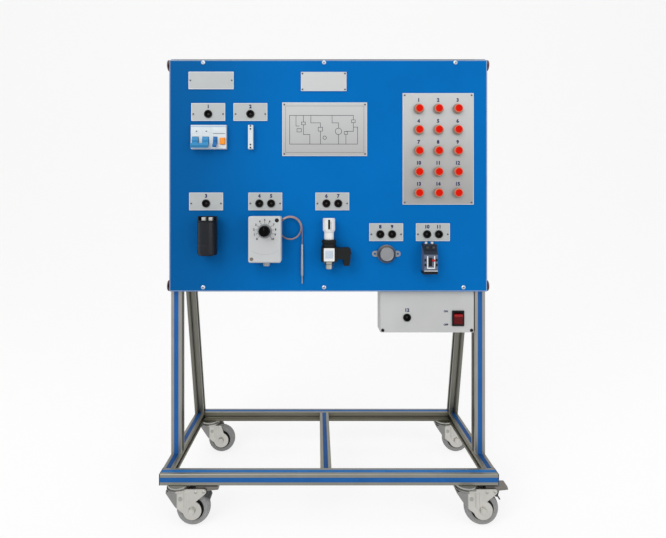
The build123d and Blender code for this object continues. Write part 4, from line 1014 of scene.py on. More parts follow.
@dataclass
class ProfileFrame(Assembly):
    """Slotted profile frame with its strips, caps and side knobs."""

    knob_from: float = 306.2
    post_cap_from: float = 800.0
    rear_from: float = 108.0
    side_from: float = 278.0
    short_reach: float = 109.0
    base_strip_top: float = 94.0

    def dress(self, dresser: Dresser) -> None:
        """Give the frame's nodes their finishes.

        Args:
            dresser: Puts the finishes on.
        """
        dresser.dress("base_rails", [Finishes.profile_base, Finishes.profile_shade], self.base_part)
        dresser.dress("posts", [Finishes.profile_upright, Finishes.profile_front], self.post_part)
        dresser.dress("struts", [Finishes.profile_upright])
        dresser.dress("cross_rails", [Finishes.profile_across])
        strips = [Finishes.strip, Finishes.strip_deep, Finishes.strip_light]
        dresser.dress("cover_strips", strips, self.strip_part)
        dresser.dress("end_caps", [Finishes.cap, Finishes.cap_light], self.cap_part)
        dresser.dress("frame_bolts", [Finishes.shank, Finishes.knob], self.knob_part)

    def base_part(self, middle: Vector, normal: Vector) -> int:
        """Pick the rear rail's front and the side rails' inner faces, darker as painted shade, or
        the rest.

        Args:
            middle: The face's middle, in millimetres.
            normal: Its normal.

        Returns:
            Number of the finish.
        """
        rear = middle.y > self.rear_from and normal.y < -FACING
        inner = abs(middle.x) > self.side_from and normal.x * middle.x < 0
        return int(rear or inner and abs(normal.x) > FACING)

    def post_part(self, middle: Vector, normal: Vector) -> int:
        """Pick a post's front, painted lighter as lit, or its other faces."""
        return int(normal.y < -FACING)

    def strip_part(self, middle: Vector, normal: Vector) -> int:
        """Pick the strips of the base's short rails, darker as painted shade, the front rail's top
        strip, lighter as painted light, or the rest.

        Args:
            middle: The face's middle, in millimetres.
            normal: Its normal.

        Returns:
            Number of the finish.
        """
        if middle.z > self.base_strip_top:
            return 0
        if abs(middle.y) < self.short_reach:
            return 1
        return 2 if middle.y < 0 and normal.z > FACING else 0

    def knob_part(self, middle: Vector, normal: Vector) -> int:
        """Pick the knob's disc or its shank by a face's middle."""
        return int(abs(middle.x) > self.knob_from)

    def cap_part(self, middle: Vector, normal: Vector) -> int:
        """Pick the dark caps of the base or the pale caps of the posts."""
        return int(middle.z > self.post_cap_from)


@dataclass
class Castors(Assembly):
    """Four swivel castors, the front two with brakes."""

    places: Mapping[str, tuple[float, float, bool]] = field(
        default_factory=lambda: {
            "fl": (-268.0, -120.0, True),
            "fr": (244.0, -120.0, True),
            "rl": (-268.0, 120.0, False),
            "rr": (271.0, 120.0, False),
        }
    )
    trail: float = 27.0
    axle_z: float = 30.0
    plate_outer: float = 13.0
    tyre_inner: float = 19.9
    pivot: Pair = (47.5, 62.8)
    rivet: Pair = (33.8, 62.0)
    ribs: Sequence[Triple] = ((16.0, 33.0, 60.0), (21.0, 40.0, 61.0))
    emboss: Pair = (6.5, 50.0)
    crease: Triple = (13.0, 36.0, 61.0)
    bend: float = 0.5
    plate_thickness: float = 2.2
    web_top: float = 61.8
    web_from: float = 2.0
    hub_radius: float = 9.3
    claw_drop: float = 2.0
    emboss_ring: Sequence[Pair] = ((2.4, -0.1), (3.9, -0.1), (3.6, 0.45), (2.7, 0.45))
    axle_head: Sequence[Pair] = ((6.2, 0.0), (6.2, 2.1), (5.9, 2.4), (0.2, 2.4))
    rivet_head: Sequence[Pair] = ((2.7, -0.2), (2.7, 0.5), (1.9, 1.2), (0.3, 1.5))
    rib_rise: float = 0.6
    rib_half: float = 0.9
    rib_edge: float = 0.3
    crease_rise: float = 0.25
    crease_half: float = 0.35

    def dress(self, dresser: Dresser) -> None:
        """Give the castors' nodes their finishes.

        Args:
            dresser: Puts the finishes on.
        """
        dresser.dress("castor_races", [Finishes.zinc])
        for key, (x, y, braked) in self.places.items():
            dresser.dress(
                f"castor_fork_{key}",
                [self.fork_finish(key), Finishes.fork_web],
                lambda middle, normal, x=x, y=y: self.fork_part(middle, normal, x, y),
            )
            dresser.dress(
                f"castor_wheel_{key}",
                [Finishes.tyre, Finishes.rim_dark, Finishes.hub],
                lambda middle, normal, x=x: self.wheel_part(middle, x),
            )
            if braked:
                finishes = [Finishes.pedal, Finishes.claw]
                dresser.dress(f"brake_pedal_{key}", finishes, self.pedal_part)

    def fork_finish(self, key: str) -> ForkMetal:
        """Give the plated finish of one castor's fork, with painted shade at its bend beside the
        king pin.

        Args:
            key: The castor's short name.

        Returns:
            The finish.
        """
        bend = (self.places[key][0] + self.bend) * MM
        return ForkMetal(
            f"fork_zinc_{key}", (199, 197, 191), 0.36, depth=0.025, lines=Grain.UPRIGHT, bend=bend
        )

    def fork_part(self, middle: Vector, normal: Vector, x: float, y: float) -> int:
        """Pick the curved web between the plates, painted darker as shade, or the rest of a fork.
        """
        inside = abs(middle.y - y) < self.plate_outer - self.plate_thickness
        return int(inside and middle.z < self.web_top and middle.x < x - self.web_from)

    def wheel_part(self, middle: Vector, x: float) -> int:
        """Pick tyre, dark rim or hub by a face's distance from the axle.

        Args:
            middle: The face's middle, in millimetres.
            x: X of the castor's king pin.

        Returns:
            Number of the finish.
        """
        reach = math.hypot(middle.x - x - self.trail, middle.z - self.axle_z)
        if reach > self.tyre_inner:
            return 0
        return 1 if reach > self.hub_radius else 2

    def pedal_part(self, middle: Vector, normal: Vector) -> int:
        """Pick the lever or its dark claw."""
        return int(middle.z < self.pivot[1] - self.claw_drop)

    def build(self) -> None:
        """Add axle heads, rivets, pressed ribs and embossed marks to each fork."""
        for key, (x, y, braked) in self.places.items():
            rivets, ribs, creases = Shape(), Shape(), Shape()
            for side in (-1, 1):
                face = y + side * self.plate_outer
                out = (0, side, 0)
                place = (x + self.emboss[0], face, self.emboss[1])
                creases.lathe(self.emboss_ring, place, out, 24)
                place = (x + self.trail, face, self.axle_z)
                rivets.lathe(self.axle_head, place, out, 28)
                if braked:
                    for across, up in (self.pivot, self.rivet):
                        rivets.lathe(self.rivet_head, (x + across, face, up), out, 20)
                across, low, high = self.crease
                crest = face + side * self.crease_rise
                self.ridge(creases, (x + across, low, high), face, crest, self.crease_half)
                crest = face + side * self.rib_rise
                for across, low, high in self.ribs:
                    place = (x + across, low, high)
                    self.ridge(ribs, place, face, crest, self.rib_half, self.rib_edge)
            body = f"castor_fork_{key}"
            rivets.piece(f"castor_rivets_{key}", Finishes.zinc, "fork_steel", body)
            ribs.piece(f"castor_ribs_{key}", self.fork_finish(key), "fork_steel", body)
            # Painted shade: the creases and emboss rings are real relief, and their darker zinc
            # finish adds shade.
            creases.piece(f"castor_creases_{key}", Finishes.zinc, "fork_steel", body)

    @staticmethod
    def ridge(
        shape: Shape, place: Triple, face: float, crest: float, half: float, edge: float = 0.0
    ) -> None:
        """Add an upright ridge to a fork's plate.

        Args:
            shape: The shape to add it to.
            place: Its X, and the Z of its lower and upper end.
            face: Y of the plate.
            crest: Y of the ridge's crest.
            half: Half of its width.
            edge: Size of the rounding on its edges.
        """
        x, low, high = place
        front, back = sorted((face, crest))
        shape.slab((x - half, front, low), (x + half, back, high), edge)


@dataclass
class Panel(Assembly):
    """Blue front panel, its rear cover and their screws."""

    front: float = -74.0
    width: float = 600.0
    bottom: float = 404.0
    top: float = 841.0
    border: float = 1.1
    rim_inset: float = 1.2
    slot_half: Pair = (1.8, 0.4)
    slot_depth: Pair = (2.45, 2.1)
    screws: Sequence[Pair] = (
        (-236, 412), (-8, 412), (255, 412), (-236, 836), (-8, 836), (240, 836)
    )

    def dress(self, dresser: Dresser) -> None:
        """Give the panel, the cover and the screws their finishes.

        Args:
            dresser: Puts the finishes on.
        """
        dresser.dress("front_panel", [Finishes.panel, Finishes.panel_edge], self.panel_part)
        dresser.dress("rear_cover", [Finishes.cover])
        dresser.dress("panel_screws", [Finishes.screw])

    def panel_part(self, middle: Vector, normal: Vector) -> int:
        """Pick the panel's face or its folded edge, which is painted pale as a highlight."""
        return int(abs(normal.y) < EDGE_ON)

    def build(self) -> None:
        """Add a painted highlight line round the panel's edge, and cross slots in its screws as
        dark marks of painted shade.
        """
        centre = (0.0, (self.bottom + self.top) / 2)
        size = (self.width - self.rim_inset, self.top - self.bottom - self.rim_inset)
        line = Shape().frame(centre, size, self.border, self.front - 0.12, self.front + 0.1)
        line.piece("panel_rim_highlight", Finishes.panel_edge, "panel_blue")
        # The slots are dark marks on the heads, painted shade for their recesses.
        slots = Shape()
        front, back = (self.front - depth for depth in self.slot_depth)
        for x, z in self.screws:
            for across, up in (self.slot_half, self.slot_half[::-1]):
                slots.slab((x - across, front, z - up), (x + across, back, z + up))
        slots.piece("panel_screw_slots", Finishes.ink_grey, "screw_zinc")


@dataclass(frozen=True)
class ButtonGrid:
    """Rows and columns of the fault buttons."""

    centre: Pair = (207.0, 669.2)
    pitch: Pair = (36.7, 39.5)
    rows: int = 5
    columns: int = 3

    def places(self) -> list[Pair]:
        """List the buttons' middles, row by row from the top left.

        Returns:
            X and Z of each button.
        """
        return [
            (
                self.centre[0] + (column - (self.columns - 1) / 2) * self.pitch[0],
                self.centre[1] - (row - (self.rows - 1) / 2) * self.pitch[1],
            )
            for row in range(self.rows)
            for column in range(self.columns)
        ]


FAULT_GRID = ButtonGrid()


@dataclass(frozen=True)
class PlatePlace:
    """Middle and size of one plate, and the places of its screws from that middle."""

    x: float
    z: float
    width: float
    height: float
    screws: tuple[Pair, ...]

    def reach(self, point: Vector) -> float:
        """Give a point's distance from the plate's middle, as a share of its diagonal."""
        away = math.hypot(self.x - point.x, self.z - point.z)
        return away / math.hypot(self.width, self.height)


# The plain motor circuit, from the middle of its plate: lines, boxes and rings.
CIRCUIT_RUNS = (
    ((-66, 26), (-66, -28), (62, -28)),
    ((-66, 26), (-40, 26), (-40, 14)),
    ((-40, 8), (-40, -10), (-28, -10), (-28, -28)),
    ((-54, 26), (-54, 6), (-48, 6)),
    ((-26, 26), (-26, 12), (-8, 12), (-8, 4)),
    ((-40, 26), (54, 26), (54, 18)),
    ((54, 12), (54, -4), (40, -4)),
    ((14, 26), (14, 12), (26, 12), (26, 2)),
    ((-8, -4), (-8, -28)),
    ((26, -10), (26, -28)),
    ((40, -10), (40, -28)),
    ((62, -28), (62, 4), (54, 4)),
)
CIRCUIT_BOXES = ((-40, 11, 8, 6), (-48, -2, 9, 7), (-8, 0, 9, 8), (54, 15, 8, 6), (40, -7, 7, 6))
CIRCUIT_RINGS = ((26, -4, 6.0), (0, -16, 3.2))


@dataclass
class LabelPlates(Assembly):
    """Plates on the panel with their borders, screws, figures and circuit lines."""

    front: float = -75.5
    screw_radius: float = 1.7
    slot_half: Pair = (1.1, 0.2)
    border: float = 0.8
    border_inset: float = 0.6
    figure_height: float = 6.2
    figure_bold: float = 0.075
    figure_rise: Pair = (10.4, 17.0)
    small_height: float = 34.0
    plates: Sequence[PlatePlace] = (
        PlatePlace(-220.8, 802.0, 85.0, 33.0, ((-39.0, 0.0), (39.0, 0.0))),
        PlatePlace(-8.6, 800.0, 86.0, 36.0, ((-40, 15), (40, 15), (-40, -15), (40, -15))),
        PlatePlace(
            -6.8, 710.0, 160.0, 101.0, ((-76, 46.5), (76, 46.5), (-76, -46.5), (76, -46.5))
        ),
        PlatePlace(207.0, 673.0, 134.0, 210.0, ((-63, 101), (63, 101), (-63, -101), (63, -101))),
    )
    signals: Sequence[tuple[float, float, int]] = (
        (-226.2, 742.5, 1),
        (-146.7, 742.5, 1),
        (-230.2, 574.0, 1),
        (-118.7, 574.0, 2),
        (7.6, 574.0, 2),
        (109.1, 516.0, 2),
        (197.1, 516.0, 2),
    )
    signal_size: Pair = (64.0, 33.5)
    socket_pitch: float = 22.2
    diagram: Pair = (-6.8, 710.0)
    diagram_size: Pair = (148, 88)
    line_width: float = 0.8

    def dress(self, dresser: Dresser) -> None:
        """Give the plates their finish."""
        finishes = [Finishes.plate, Finishes.plate_edge, Finishes.plate_pale]
        dresser.dress("label_plates", finishes, self.plate_part)

    def plate_part(self, middle: Vector, normal: Vector) -> int:
        """Pick a large plate's face, a cut edge, or the paler face of a small plate.

        Args:
            middle: The face's middle, in millimetres.
            normal: Its normal.

        Returns:
            Number of the finish.
        """
        if abs(normal.y) < EDGE_ON:
            return 1
        nearest = min(self.every_plate(), key=lambda plate: plate.reach(middle))
        return 2 if nearest.height < self.small_height else 0

    def every_plate(self) -> list[PlatePlace]:
        """List all plates, the signal plates among them.

        Returns:
            The plates.
        """
        width, height = self.signal_size
        screws = ((-28.0, -3.8), (28.0, -3.8))
        small = [PlatePlace(x, z, width, height, screws) for x, z, _ in self.signals]
        return [*self.plates, *small]

    def build(self) -> None:
        """Add borders, screws, figures and the circuit lines."""
        borders, screws, slots = Shape(), Shape(), Shape()
        radius = self.screw_radius
        head = [(radius, -0.1), (radius, 0.35), (radius * 0.75, 0.75), (0.2, 0.9)]
        across, up = self.slot_half
        for plate in self.every_plate():
            size = (plate.width - self.border_inset, plate.height - self.border_inset)
            front, back = self.front - 0.12, self.front + 0.1
            borders.frame((plate.x, plate.z), size, self.border, front, back)
            for dx, dz in plate.screws:
                x, z = plate.x + dx, plate.z + dz
                screws.lathe(head, (x, self.front, z), steps=20)
                # The slots are dark marks on the heads, painted shade for their recesses.
                low = (x - across, self.front - 0.96, z - up)
                slots.slab(low, (x + across, self.front - 0.7, z + up))
        borders.piece("plate_borders", Finishes.plate_edge, "plate")
        screws.piece("plate_screws", Finishes.plate_screw, "screw_zinc")
        slots.piece("plate_screw_slots", Finishes.ink_grey, "screw_zinc")
        self.figures()
        self.circuit()

    def figures(self) -> None:
        """Number the sockets and the fault buttons."""
        figures = Shape()
        front, back = self.front - 0.1, self.front + 0.05
        sockets = [
            (x + self.socket_pitch * (index - (count - 1) / 2), z)
            for x, z, count in self.signals
            for index in range(count)
        ]
        for places, rise in zip((sockets, FAULT_GRID.places()), self.figure_rise):
            for number, (x, z) in enumerate(places, start=1):
                figures.words(
                    str(number), self.figure_height, (x, z + rise), front, back, self.figure_bold
                )
        figures.piece("plate_figures", Finishes.ink, "plate")

    def circuit(self) -> None:
        """Draw a plain motor circuit on the large plate."""
        x, z = self.diagram
        lines = Shape()
        front, back = self.front - 0.08, self.front + 0.05
        for run in CIRCUIT_RUNS:
            lines.stroke([(x + a, z + b) for a, b in run], self.line_width, front, back)
        for a, b, width, height in CIRCUIT_BOXES:
            lines.frame((x + a, z + b), (width, height), self.line_width, front, back)
        for a, b, radius in CIRCUIT_RINGS:
            across, up = x + a, z + b
            ring = [
                (across + radius * math.cos(angle), up + radius * math.sin(angle))
                for angle in (math.pi * step / 12 for step in range(25))
            ]
            lines.stroke(ring, self.line_width, front, back)
        lines.frame((x, z), self.diagram_size, self.line_width / 2, front, back)
        lines.piece("circuit_lines", Finishes.ink_grey, "plate")


@dataclass
class SignalSockets(Assembly):
    """Signal sockets with a recess and a contact sleeve."""

    places: Sequence[tuple[float, float, float]] = (
        (-226.2, 738.7, -75.5),
        (-146.7, 738.7, -75.5),
        (-230.2, 570.2, -75.5),
        (-129.8, 570.2, -75.5),
        (-107.6, 570.2, -75.5),
        (-3.5, 570.2, -75.5),
        (18.7, 570.2, -75.5),
        (98.0, 512.2, -75.5),
        (120.2, 512.2, -75.5),
        (186.0, 512.2, -75.5),
        (208.2, 512.2, -75.5),
        (150.6, 352.5, -64.0),
    )
    recess: float = 6.0
    recess_depth: float = 6.0
    floor: float = 3.4
    sleeve: Sequence[Pair] = (
        (1.1, 0.0), (1.9, 0.0), (1.9, 2.2), (1.6, 2.5), (1.2, 2.5), (1.1, 0.3)
    )

    def dress(self, dresser: Dresser) -> None:
        """Give the sockets their finishes."""
        finishes = [Finishes.socket, Finishes.socket_inner]
        dresser.dress("signal_sockets", finishes, self.socket_part)

    def socket_part(self, middle: Vector, normal: Vector) -> int:
        """Pick the recess, which is painted darker as shade, or the rest, by a face's distance from
        its socket's axis.

        Args:
            middle: The face's middle, in millimetres.
            normal: Its normal, which is not used.

        Returns:
            Number of the finish.
        """
        x, z, front = min(
            self.places, key=lambda place: math.hypot(place[0] - middle.x, place[1] - middle.z)
        )
        reach = math.hypot(x - middle.x, z - middle.z)
        return int(reach < self.recess + 0.05 and middle.y < front + self.recess_depth)

    def build(self) -> None:
        """Add a contact sleeve in each recess."""
        sleeves = Shape()
        for x, z, front in self.places:
            sleeves.lathe(self.sleeve, (x, front + self.floor, z), steps=24)
        sleeves.piece("socket_sleeves", Finishes.contact, "socket_black")


@dataclass
class FaultButtons(Assembly):
    """Round push buttons and their collars."""

    cap_front: float = -84.3
    cap_radius: float = 8.0
    rim_width: float = 1.4
    collar_back: float = -74.6
    lens: Sequence[Pair] = (
        (5.3, -0.1), (5.3, 0.25), (4.8, 0.5), (3.2, 0.34), (1.4, 0.26), (0.2, 0.25)
    )
    lens_back: float = 0.4

    def dress(self, dresser: Dresser) -> None:
        """Give the buttons and collars their finishes.

        Args:
            dresser: Puts the finishes on.
        """
        dresser.dress("button_bezels", [Finishes.bezel, Finishes.block], self.collar_part)
        for index, (x, z) in enumerate(FAULT_GRID.places(), start=1):
            dresser.dress(
                f"fault_button_{index:02d}",
                [Finishes.button, Finishes.button_rim],
                lambda middle, normal, x=x, z=z: self.cap_part(middle, x, z),
            )

    def collar_part(self, middle: Vector, normal: Vector) -> int:
        """Pick the collar in front of the panel or the block behind it."""
        return int(middle.y > self.collar_back)

    def cap_part(self, middle: Vector, x: float, z: float) -> int:
        """Pick the cap's face or its rim, painted lighter as a highlight."""
        reach = math.hypot(middle.x - x, middle.z - z)
        return int(reach > self.cap_radius - self.rim_width)

    def build(self) -> None:
        """Put a shallow dished lens on each cap."""
        for index, (x, z) in enumerate(FAULT_GRID.places(), start=1):
            key = f"{index:02d}"
            lens = Shape().lathe(self.lens, (x, self.cap_front + self.lens_back, z), steps=36)
            lens.piece(f"button_lens_{key}", Finishes.button, "button_red", f"fault_button_{key}")


@dataclass
class Breaker(Assembly):
    """Two-pole breaker, residual current block and auxiliary contact."""

    x: float = -224.0
    width: float = 66.0
    front: float = -83.0
    handles: Sequence[Pair] = ((-24.2, 12.4), (-5.0, 12.4), (13.0, 7.6))
    handle_span: Pair = (678.6, 697.6)
    frame_foot: float = 676.8
    frame_gap: float = 0.9
    frame_half: float = 0.7
    auxiliary_x: float = -145.5
    auxiliary_screws: Sequence[float] = (714.8, 709.5, 680.1, 674.5)
    screw: Sequence[Pair] = ((1.6, -0.4), (1.6, 0.2), (1.1, 0.3), (0.1, 0.3))
    modules_y: float = -18.2
    modules_x: float = -70.0
    fields: Sequence[Pair] = ((-24.2, 15.0), (-5.0, 15.0), (20.0, 24.0))
    field_span: Pair = (701.0, 711.0)
    dots: Sequence[float] = (-246.1, -227.9)
    dot_span: Pair = (704.0, 705.8)
    dot_half: float = 1.4
    dash: tuple[Pair, Pair] = ((-215.4, 700.2), (-193.0, 700.8))
    lip_span: Pair = (713.4, 714.6)

    def dress(self, dresser: Dresser) -> None:
        """Give the breaker's nodes their finishes.

        Args:
            dresser: Puts the finishes on.
        """
        shades = [Finishes.breaker, Finishes.breaker_grey]
        dresser.dress("breaker_housing", shades, self.housing_part)
        dresser.dress("breaker_handle", [Finishes.handle])
        dresser.dress("rcd_handle", [Finishes.handle_navy])
        dresser.dress("rcd_test_button", [Finishes.test])
        dresser.dress("auxiliary_contact", [Finishes.breaker])
        dresser.dress("wiring_rail", [Finishes.zinc, Finishes.block], self.rail_part)

    def housing_part(self, middle: Vector, normal: Vector) -> int:
        """Pick the top and bottom faces, painted grey as shade, or the rest."""
        return int(abs(normal.z) > FACING)

    def rail_part(self, middle: Vector, normal: Vector) -> int:
        """Pick the rail or the modules that sit on it."""
        return int(middle.y < self.modules_y and middle.x > self.modules_x)

    def build(self) -> None:
        """Add handle frames, blank fields, marks, the auxiliary screws and the blue lip."""
        frames, fields, marks, screws = Shape(), Shape(), Shape(), Shape()
        front, band = self.front, self.frame_half
        proud, sunk = front - 0.9, front + 0.2
        foot, top = self.handle_span
        for offset, width in self.handles:
            x, half = self.x + offset, width / 2 + self.frame_gap
            for side in (-1, 1):
                low = x + side * half - band
                frames.slab((low, proud, foot), (low + 2 * band, sunk, top), 0.25)
            reach = half + band
            frames.slab((x - reach, proud, self.frame_foot), (x + reach, sunk, foot), 0.25)
        low, high = self.field_span
        for offset, width in self.fields:
            x, half = self.x + offset, width / 2
            fields.slab((x - half, front - 0.2, low), (x + half, sunk, high), 0.1)
        low, high = self.dot_span
        half = self.dot_half
        for x in self.dots:
            marks.slab((x - half, front - 0.32, low), (x + half, front, high), 0.1)
        (left, low), (right, high) = self.dash
        marks.slab((left, front - 0.3, low), (right, front, high))
        for z in self.auxiliary_screws:
            screws.lathe(self.screw, (self.auxiliary_x, front, z), steps=20)
        low, high = self.lip_span
        left, right = self.x - self.width / 2, self.x + self.width / 2
        lip = Shape().slab((left, front - 0.25, low), (right, front + 0.1, high), 0.1)
        frames.piece("handle_frames", Finishes.breaker, "breaker_white")
        fields.piece("breaker_fields", Finishes.breaker, "breaker_white")
        marks.piece("breaker_marks", Finishes.ink, "breaker_white")
        screws.piece("auxiliary_screws", Finishes.block, "auxiliary_white")
        lip.piece("breaker_lip", Finishes.breaker_blue, "breaker_white")


@dataclass
class Capacitor(Assembly):
    """Motor start capacitor with its blades."""

    top: float = 537.6
    axis: Pair = (-223.2, -93.6)
    blade_reach: float = 13.0

    def dress(self, dresser: Dresser) -> None:
        """Give the capacitor its finishes."""
        dresser.dress("start_capacitor", [Finishes.capacitor, Finishes.blade], self.part)

    def part(self, middle: Vector, normal: Vector) -> int:
        """Pick the can or its blades."""
        reach = math.hypot(middle.x - self.axis[0], middle.y - self.axis[1])
        return int(middle.z > self.top + 0.2 and reach < self.blade_reach)


@dataclass
class Thermostat(Assembly):
    """Room thermostat with its dial, screws and remote bulb."""

    knob: Pair = (-115.2, 520.0)
    front: float = -114.0
    dial_radius: float = 14.0
    gland_top: float = 465.15
    base_front: float = -88.05
    figure_radius: float = 19.8
    figure_height: float = 3.6
    tick_radii: Pair = (14.2, 16.4)
    tick_width: float = 0.65
    figure_count: int = 11
    figure_start: float = 225.0
    figure_step: float = 27.0
    line_radius: float = 46.0
    line_rise: float = 4.0
    heads: Sequence[tuple[str, Pair, float, Finish]] = (
        ("thermostat_plug", (-93.4, 539.4), 3.7, Finishes.block),
        ("thermostat_screw", (-139.0, 469.6), 3.2, Finishes.disc_ring),
    )
    pointer_half: float = 0.4
    pointer_front: float = -129.75
    pointer_span: Pair = (521.5, 528.0)
    coil_centre: Pair = (-71.6, 524.2)
    coil_inner: float = 19.6
    coil_outer: float = 22.4
    coil_turns: float = 3.5
    coil_pitch: float = 2.0
    coil_steps: int = 48
    coil_foot: float = 515.0
    coil_last_y: float = -77.0
    tube_radius: float = 0.75
    entry_z: float = 505.7
    bulb_top: float = 494.3
    bulb_radius: float = 2.7
    bulb_length: float = 62.0
    bulb_cone: float = 2.5
    tail_radius: float = 1.2
    tail_length: float = 13.0

    def dress(self, dresser: Dresser) -> None:
        """Give the thermostat's nodes their finishes.

        Args:
            dresser: Puts the finishes on.
        """
        dresser.dress(
            "thermostat_housing",
            [
                Finishes.thermostat,
                Finishes.thermostat_base,
                Finishes.dial,
                Finishes.thermostat_gland,
            ],
            self.part,
        )
        dresser.dress("thermostat_knob", [Finishes.knob_black])

    def part(self, middle: Vector, normal: Vector) -> int:
        """Pick cover, base, dial ring or gland.

        Args:
            middle: The face's middle, in millimetres.
            normal: Its normal, which is not used.

        Returns:
            Number of the finish.
        """
        reach = math.hypot(middle.x - self.knob[0], middle.z - self.knob[1])
        if middle.y < self.front - 0.05 and reach < self.dial_radius:
            return 2
        if middle.z < self.gland_top:
            return 3
        return int(middle.y > self.base_front)

    def build(self) -> None:
        """Add the dial's figures and lines, the cover's line and heads, the pointer and sensor."""
        figures, ticks = Shape(), Shape()
        y = self.front
        for index in range(self.figure_count):
            angle = math.radians(self.figure_start - self.figure_step * index)
            place, inner, outer = (
                (self.knob[0] + reach * math.cos(angle), self.knob[1] + reach * math.sin(angle))
                for reach in (self.figure_radius, *self.tick_radii)
            )
            figures.words(str(index), self.figure_height, place, y - 0.12, y + 0.05, 0.07)
            ticks.stroke([inner, outer], self.tick_width, y - 0.12, y + 0.05)
        figures.piece("dial_figures", Finishes.ink_grey, "thermostat_white")
        ticks.piece("dial_ticks", Finishes.ink_grey, "thermostat_white")
        across, up = self.knob[0], self.knob[1] + self.line_rise
        arc = [
            (across + self.line_radius * math.sin(turn), up - self.line_radius * math.cos(turn))
            for turn in (math.radians(degrees) for degrees in range(-32, 33, 4))
        ]
        line = Shape().stroke(arc, 0.5, y - 0.15, y + 0.05)
        line.piece("cover_line", Finishes.thermostat_base, "thermostat_white")
        for name, (x, z), radius, finish in self.heads:
            rim = [(radius, -0.1), (radius, 0.3), (radius - 0.6, 0.45), (radius - 0.8, 0.15)]
            head = Shape().lathe([*rim, (0.2, 0.1)], (x, y, z), steps=24)
            head.piece(name, finish, "thermostat_white")
        x, y, half = self.knob[0], self.pointer_front, self.pointer_half
        low, high = self.pointer_span
        pointer = Shape().slab((x - half, y, low), (x + half, y + 0.75, high), 0.2)
        pointer.piece("knob_pointer", Finishes.ink_grey, "knob_black", "thermostat_knob")
        self.sensor()

    def coil_point(self, turn: float) -> Vector:
        """Give a point on the coil's centre line.

        Args:
            turn: Turns from the coil's start, at the thermostat.

        Returns:
            The point, in millimetres.
        """
        share = turn / self.coil_turns
        radius = self.coil_inner + (self.coil_outer - self.coil_inner) * share
        angle = math.pi - 2 * math.pi * turn
        return Vector(
            (
                self.coil_centre[0] + radius * math.cos(angle),
                self.coil_last_y - self.coil_pitch * (self.coil_turns - turn),
                self.coil_centre[1] + radius * math.sin(angle),
            )
        )

    def sensor(self) -> None:
        """Build the capillary tube with its coil, its straight end and its bulb."""
        first = self.coil_point(0.0)
        last = self.coil_point(self.coil_turns)
        points = [Vector((first.x, first.y, z)) for z in (self.entry_z, self.coil_foot)]
        steps = int(self.coil_turns * self.coil_steps)
        points += [self.coil_point(self.coil_turns * step / steps) for step in range(steps + 1)]
        down = (self.coil_foot, self.coil_foot - 10, self.bulb_top - 1)
        points += [Vector((last.x, last.y, z)) for z in down]
        radii = [self.tube_radius] * len(points)
        tube = Shape().tube(points, radii, 14).piece("capillary_tube", Finishes.copper, "copper")
        bulb, length, cone = self.bulb_radius, self.bulb_length, self.bulb_cone
        outline = [
            (self.tube_radius, 0.0),
            (self.tube_radius + 0.6, 0.8),
            (bulb - 0.3, cone - 0.5),
            (bulb, cone + 0.6),
            (bulb, length - cone - 1),
            (bulb - 0.5, length - cone + 0.4),
            (self.tail_radius, length),
            (self.tail_radius, length + self.tail_length - 0.6),
            (0.7, length + self.tail_length),
        ]
        body = Shape().lathe(outline, (last.x, last.y, self.bulb_top), (0, 0, -1), 28)
        body.piece("capillary_bulb", Finishes.bulb, "copper")
        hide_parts("capillary_sensor")


@dataclass
class PressureSwitch(Assembly):
    """Pressure switch with its port, plug and adjusting cap."""

    x: float = 1.0
    y: float = -89.0
    levels: Sequence[float] = (448.7, 458.1, 463.3, 489.3, 503.0, 517.0)
    cap_radius: float = 11.4
    ring_radius: float = 12.9
    rib_count: int = 36
    rib_foot: float = 497.0
    rib: Sequence[Pair] = ((0.5, 0.0), (0.5, 4.6), (0.2, 5.0))
    scale_marks: int = 7
    scale_foot: float = 521.5
    scale_pitch: float = 2.4
    scale_span: Pair = (2.3, 4.6)
    block_front: float = 13.02

    def dress(self, dresser: Dresser) -> None:
        """Give the switch's nodes their finishes.

        Args:
            dresser: Puts the finishes on.
        """
        dresser.dress(
            "pressure_switch_body",
            [Finishes.switch_black, Finishes.port, Finishes.switch_white],
            self.part,
        )
        dresser.dress("pressure_switch_cap", [Finishes.switch_white])
        dresser.dress("pressure_switch_plug", [Finishes.switch_black])

    def part(self, middle: Vector, normal: Vector) -> int:
        """Pick the plated port, the white neck and name block, or the black housing.

        Args:
            middle: The face's middle, in millimetres.
            normal: Its normal, which is not used.

        Returns:
            Number of the finish.
        """
        if middle.z < self.levels[2] - 0.02:
            return 1
        if self.levels[2] < middle.z < self.levels[3] and middle.y < self.y - self.block_front:
            return 2
        return 2 if self.levels[4] + 0.05 < middle.z < self.levels[5] - 0.9 else 0

    def build(self) -> None:
        """Add grip ribs, scale lines, the cap's dark core and a blank name face."""
        ribs = Shape()
        for step in range(self.rib_count):
            angle = 2 * math.pi * step / self.rib_count
            x = self.x + self.ring_radius * math.cos(angle)
            y = self.y + self.ring_radius * math.sin(angle)
            ribs.lathe(self.rib, (x, y, self.rib_foot), (0, 0, 1), 6)
        ribs.piece("lock_ring_ribs", Finishes.switch_black, "switch_black")
        scale = Shape()
        left, right = (self.x + across for across in self.scale_span)
        face = self.y - self.cap_radius
        for step in range(self.scale_marks):
            z = self.scale_foot + step * self.scale_pitch
            scale.slab((left, face - 0.05, z), (right, face + 0.8, z + 0.35))
        scale.piece("cap_scale", Finishes.ink_grey, "cap_white", "pressure_switch_cap")
        core = Shape().slab(
            (self.x - 1.9, self.y - 9.4, 520.2), (self.x + 1.9, self.y - 6.2, 536.8), 0.3
        )
        core.piece("cap_core", Finishes.switch_black, "cap_white", "pressure_switch_cap")
        mark = Shape().slab((self.x - 7.2, -103.6, 469.6), (self.x + 7.2, -103.3, 483.6), 0.1)
        mark.piece("name_block_face", Finishes.breaker_grey, "switch_black")


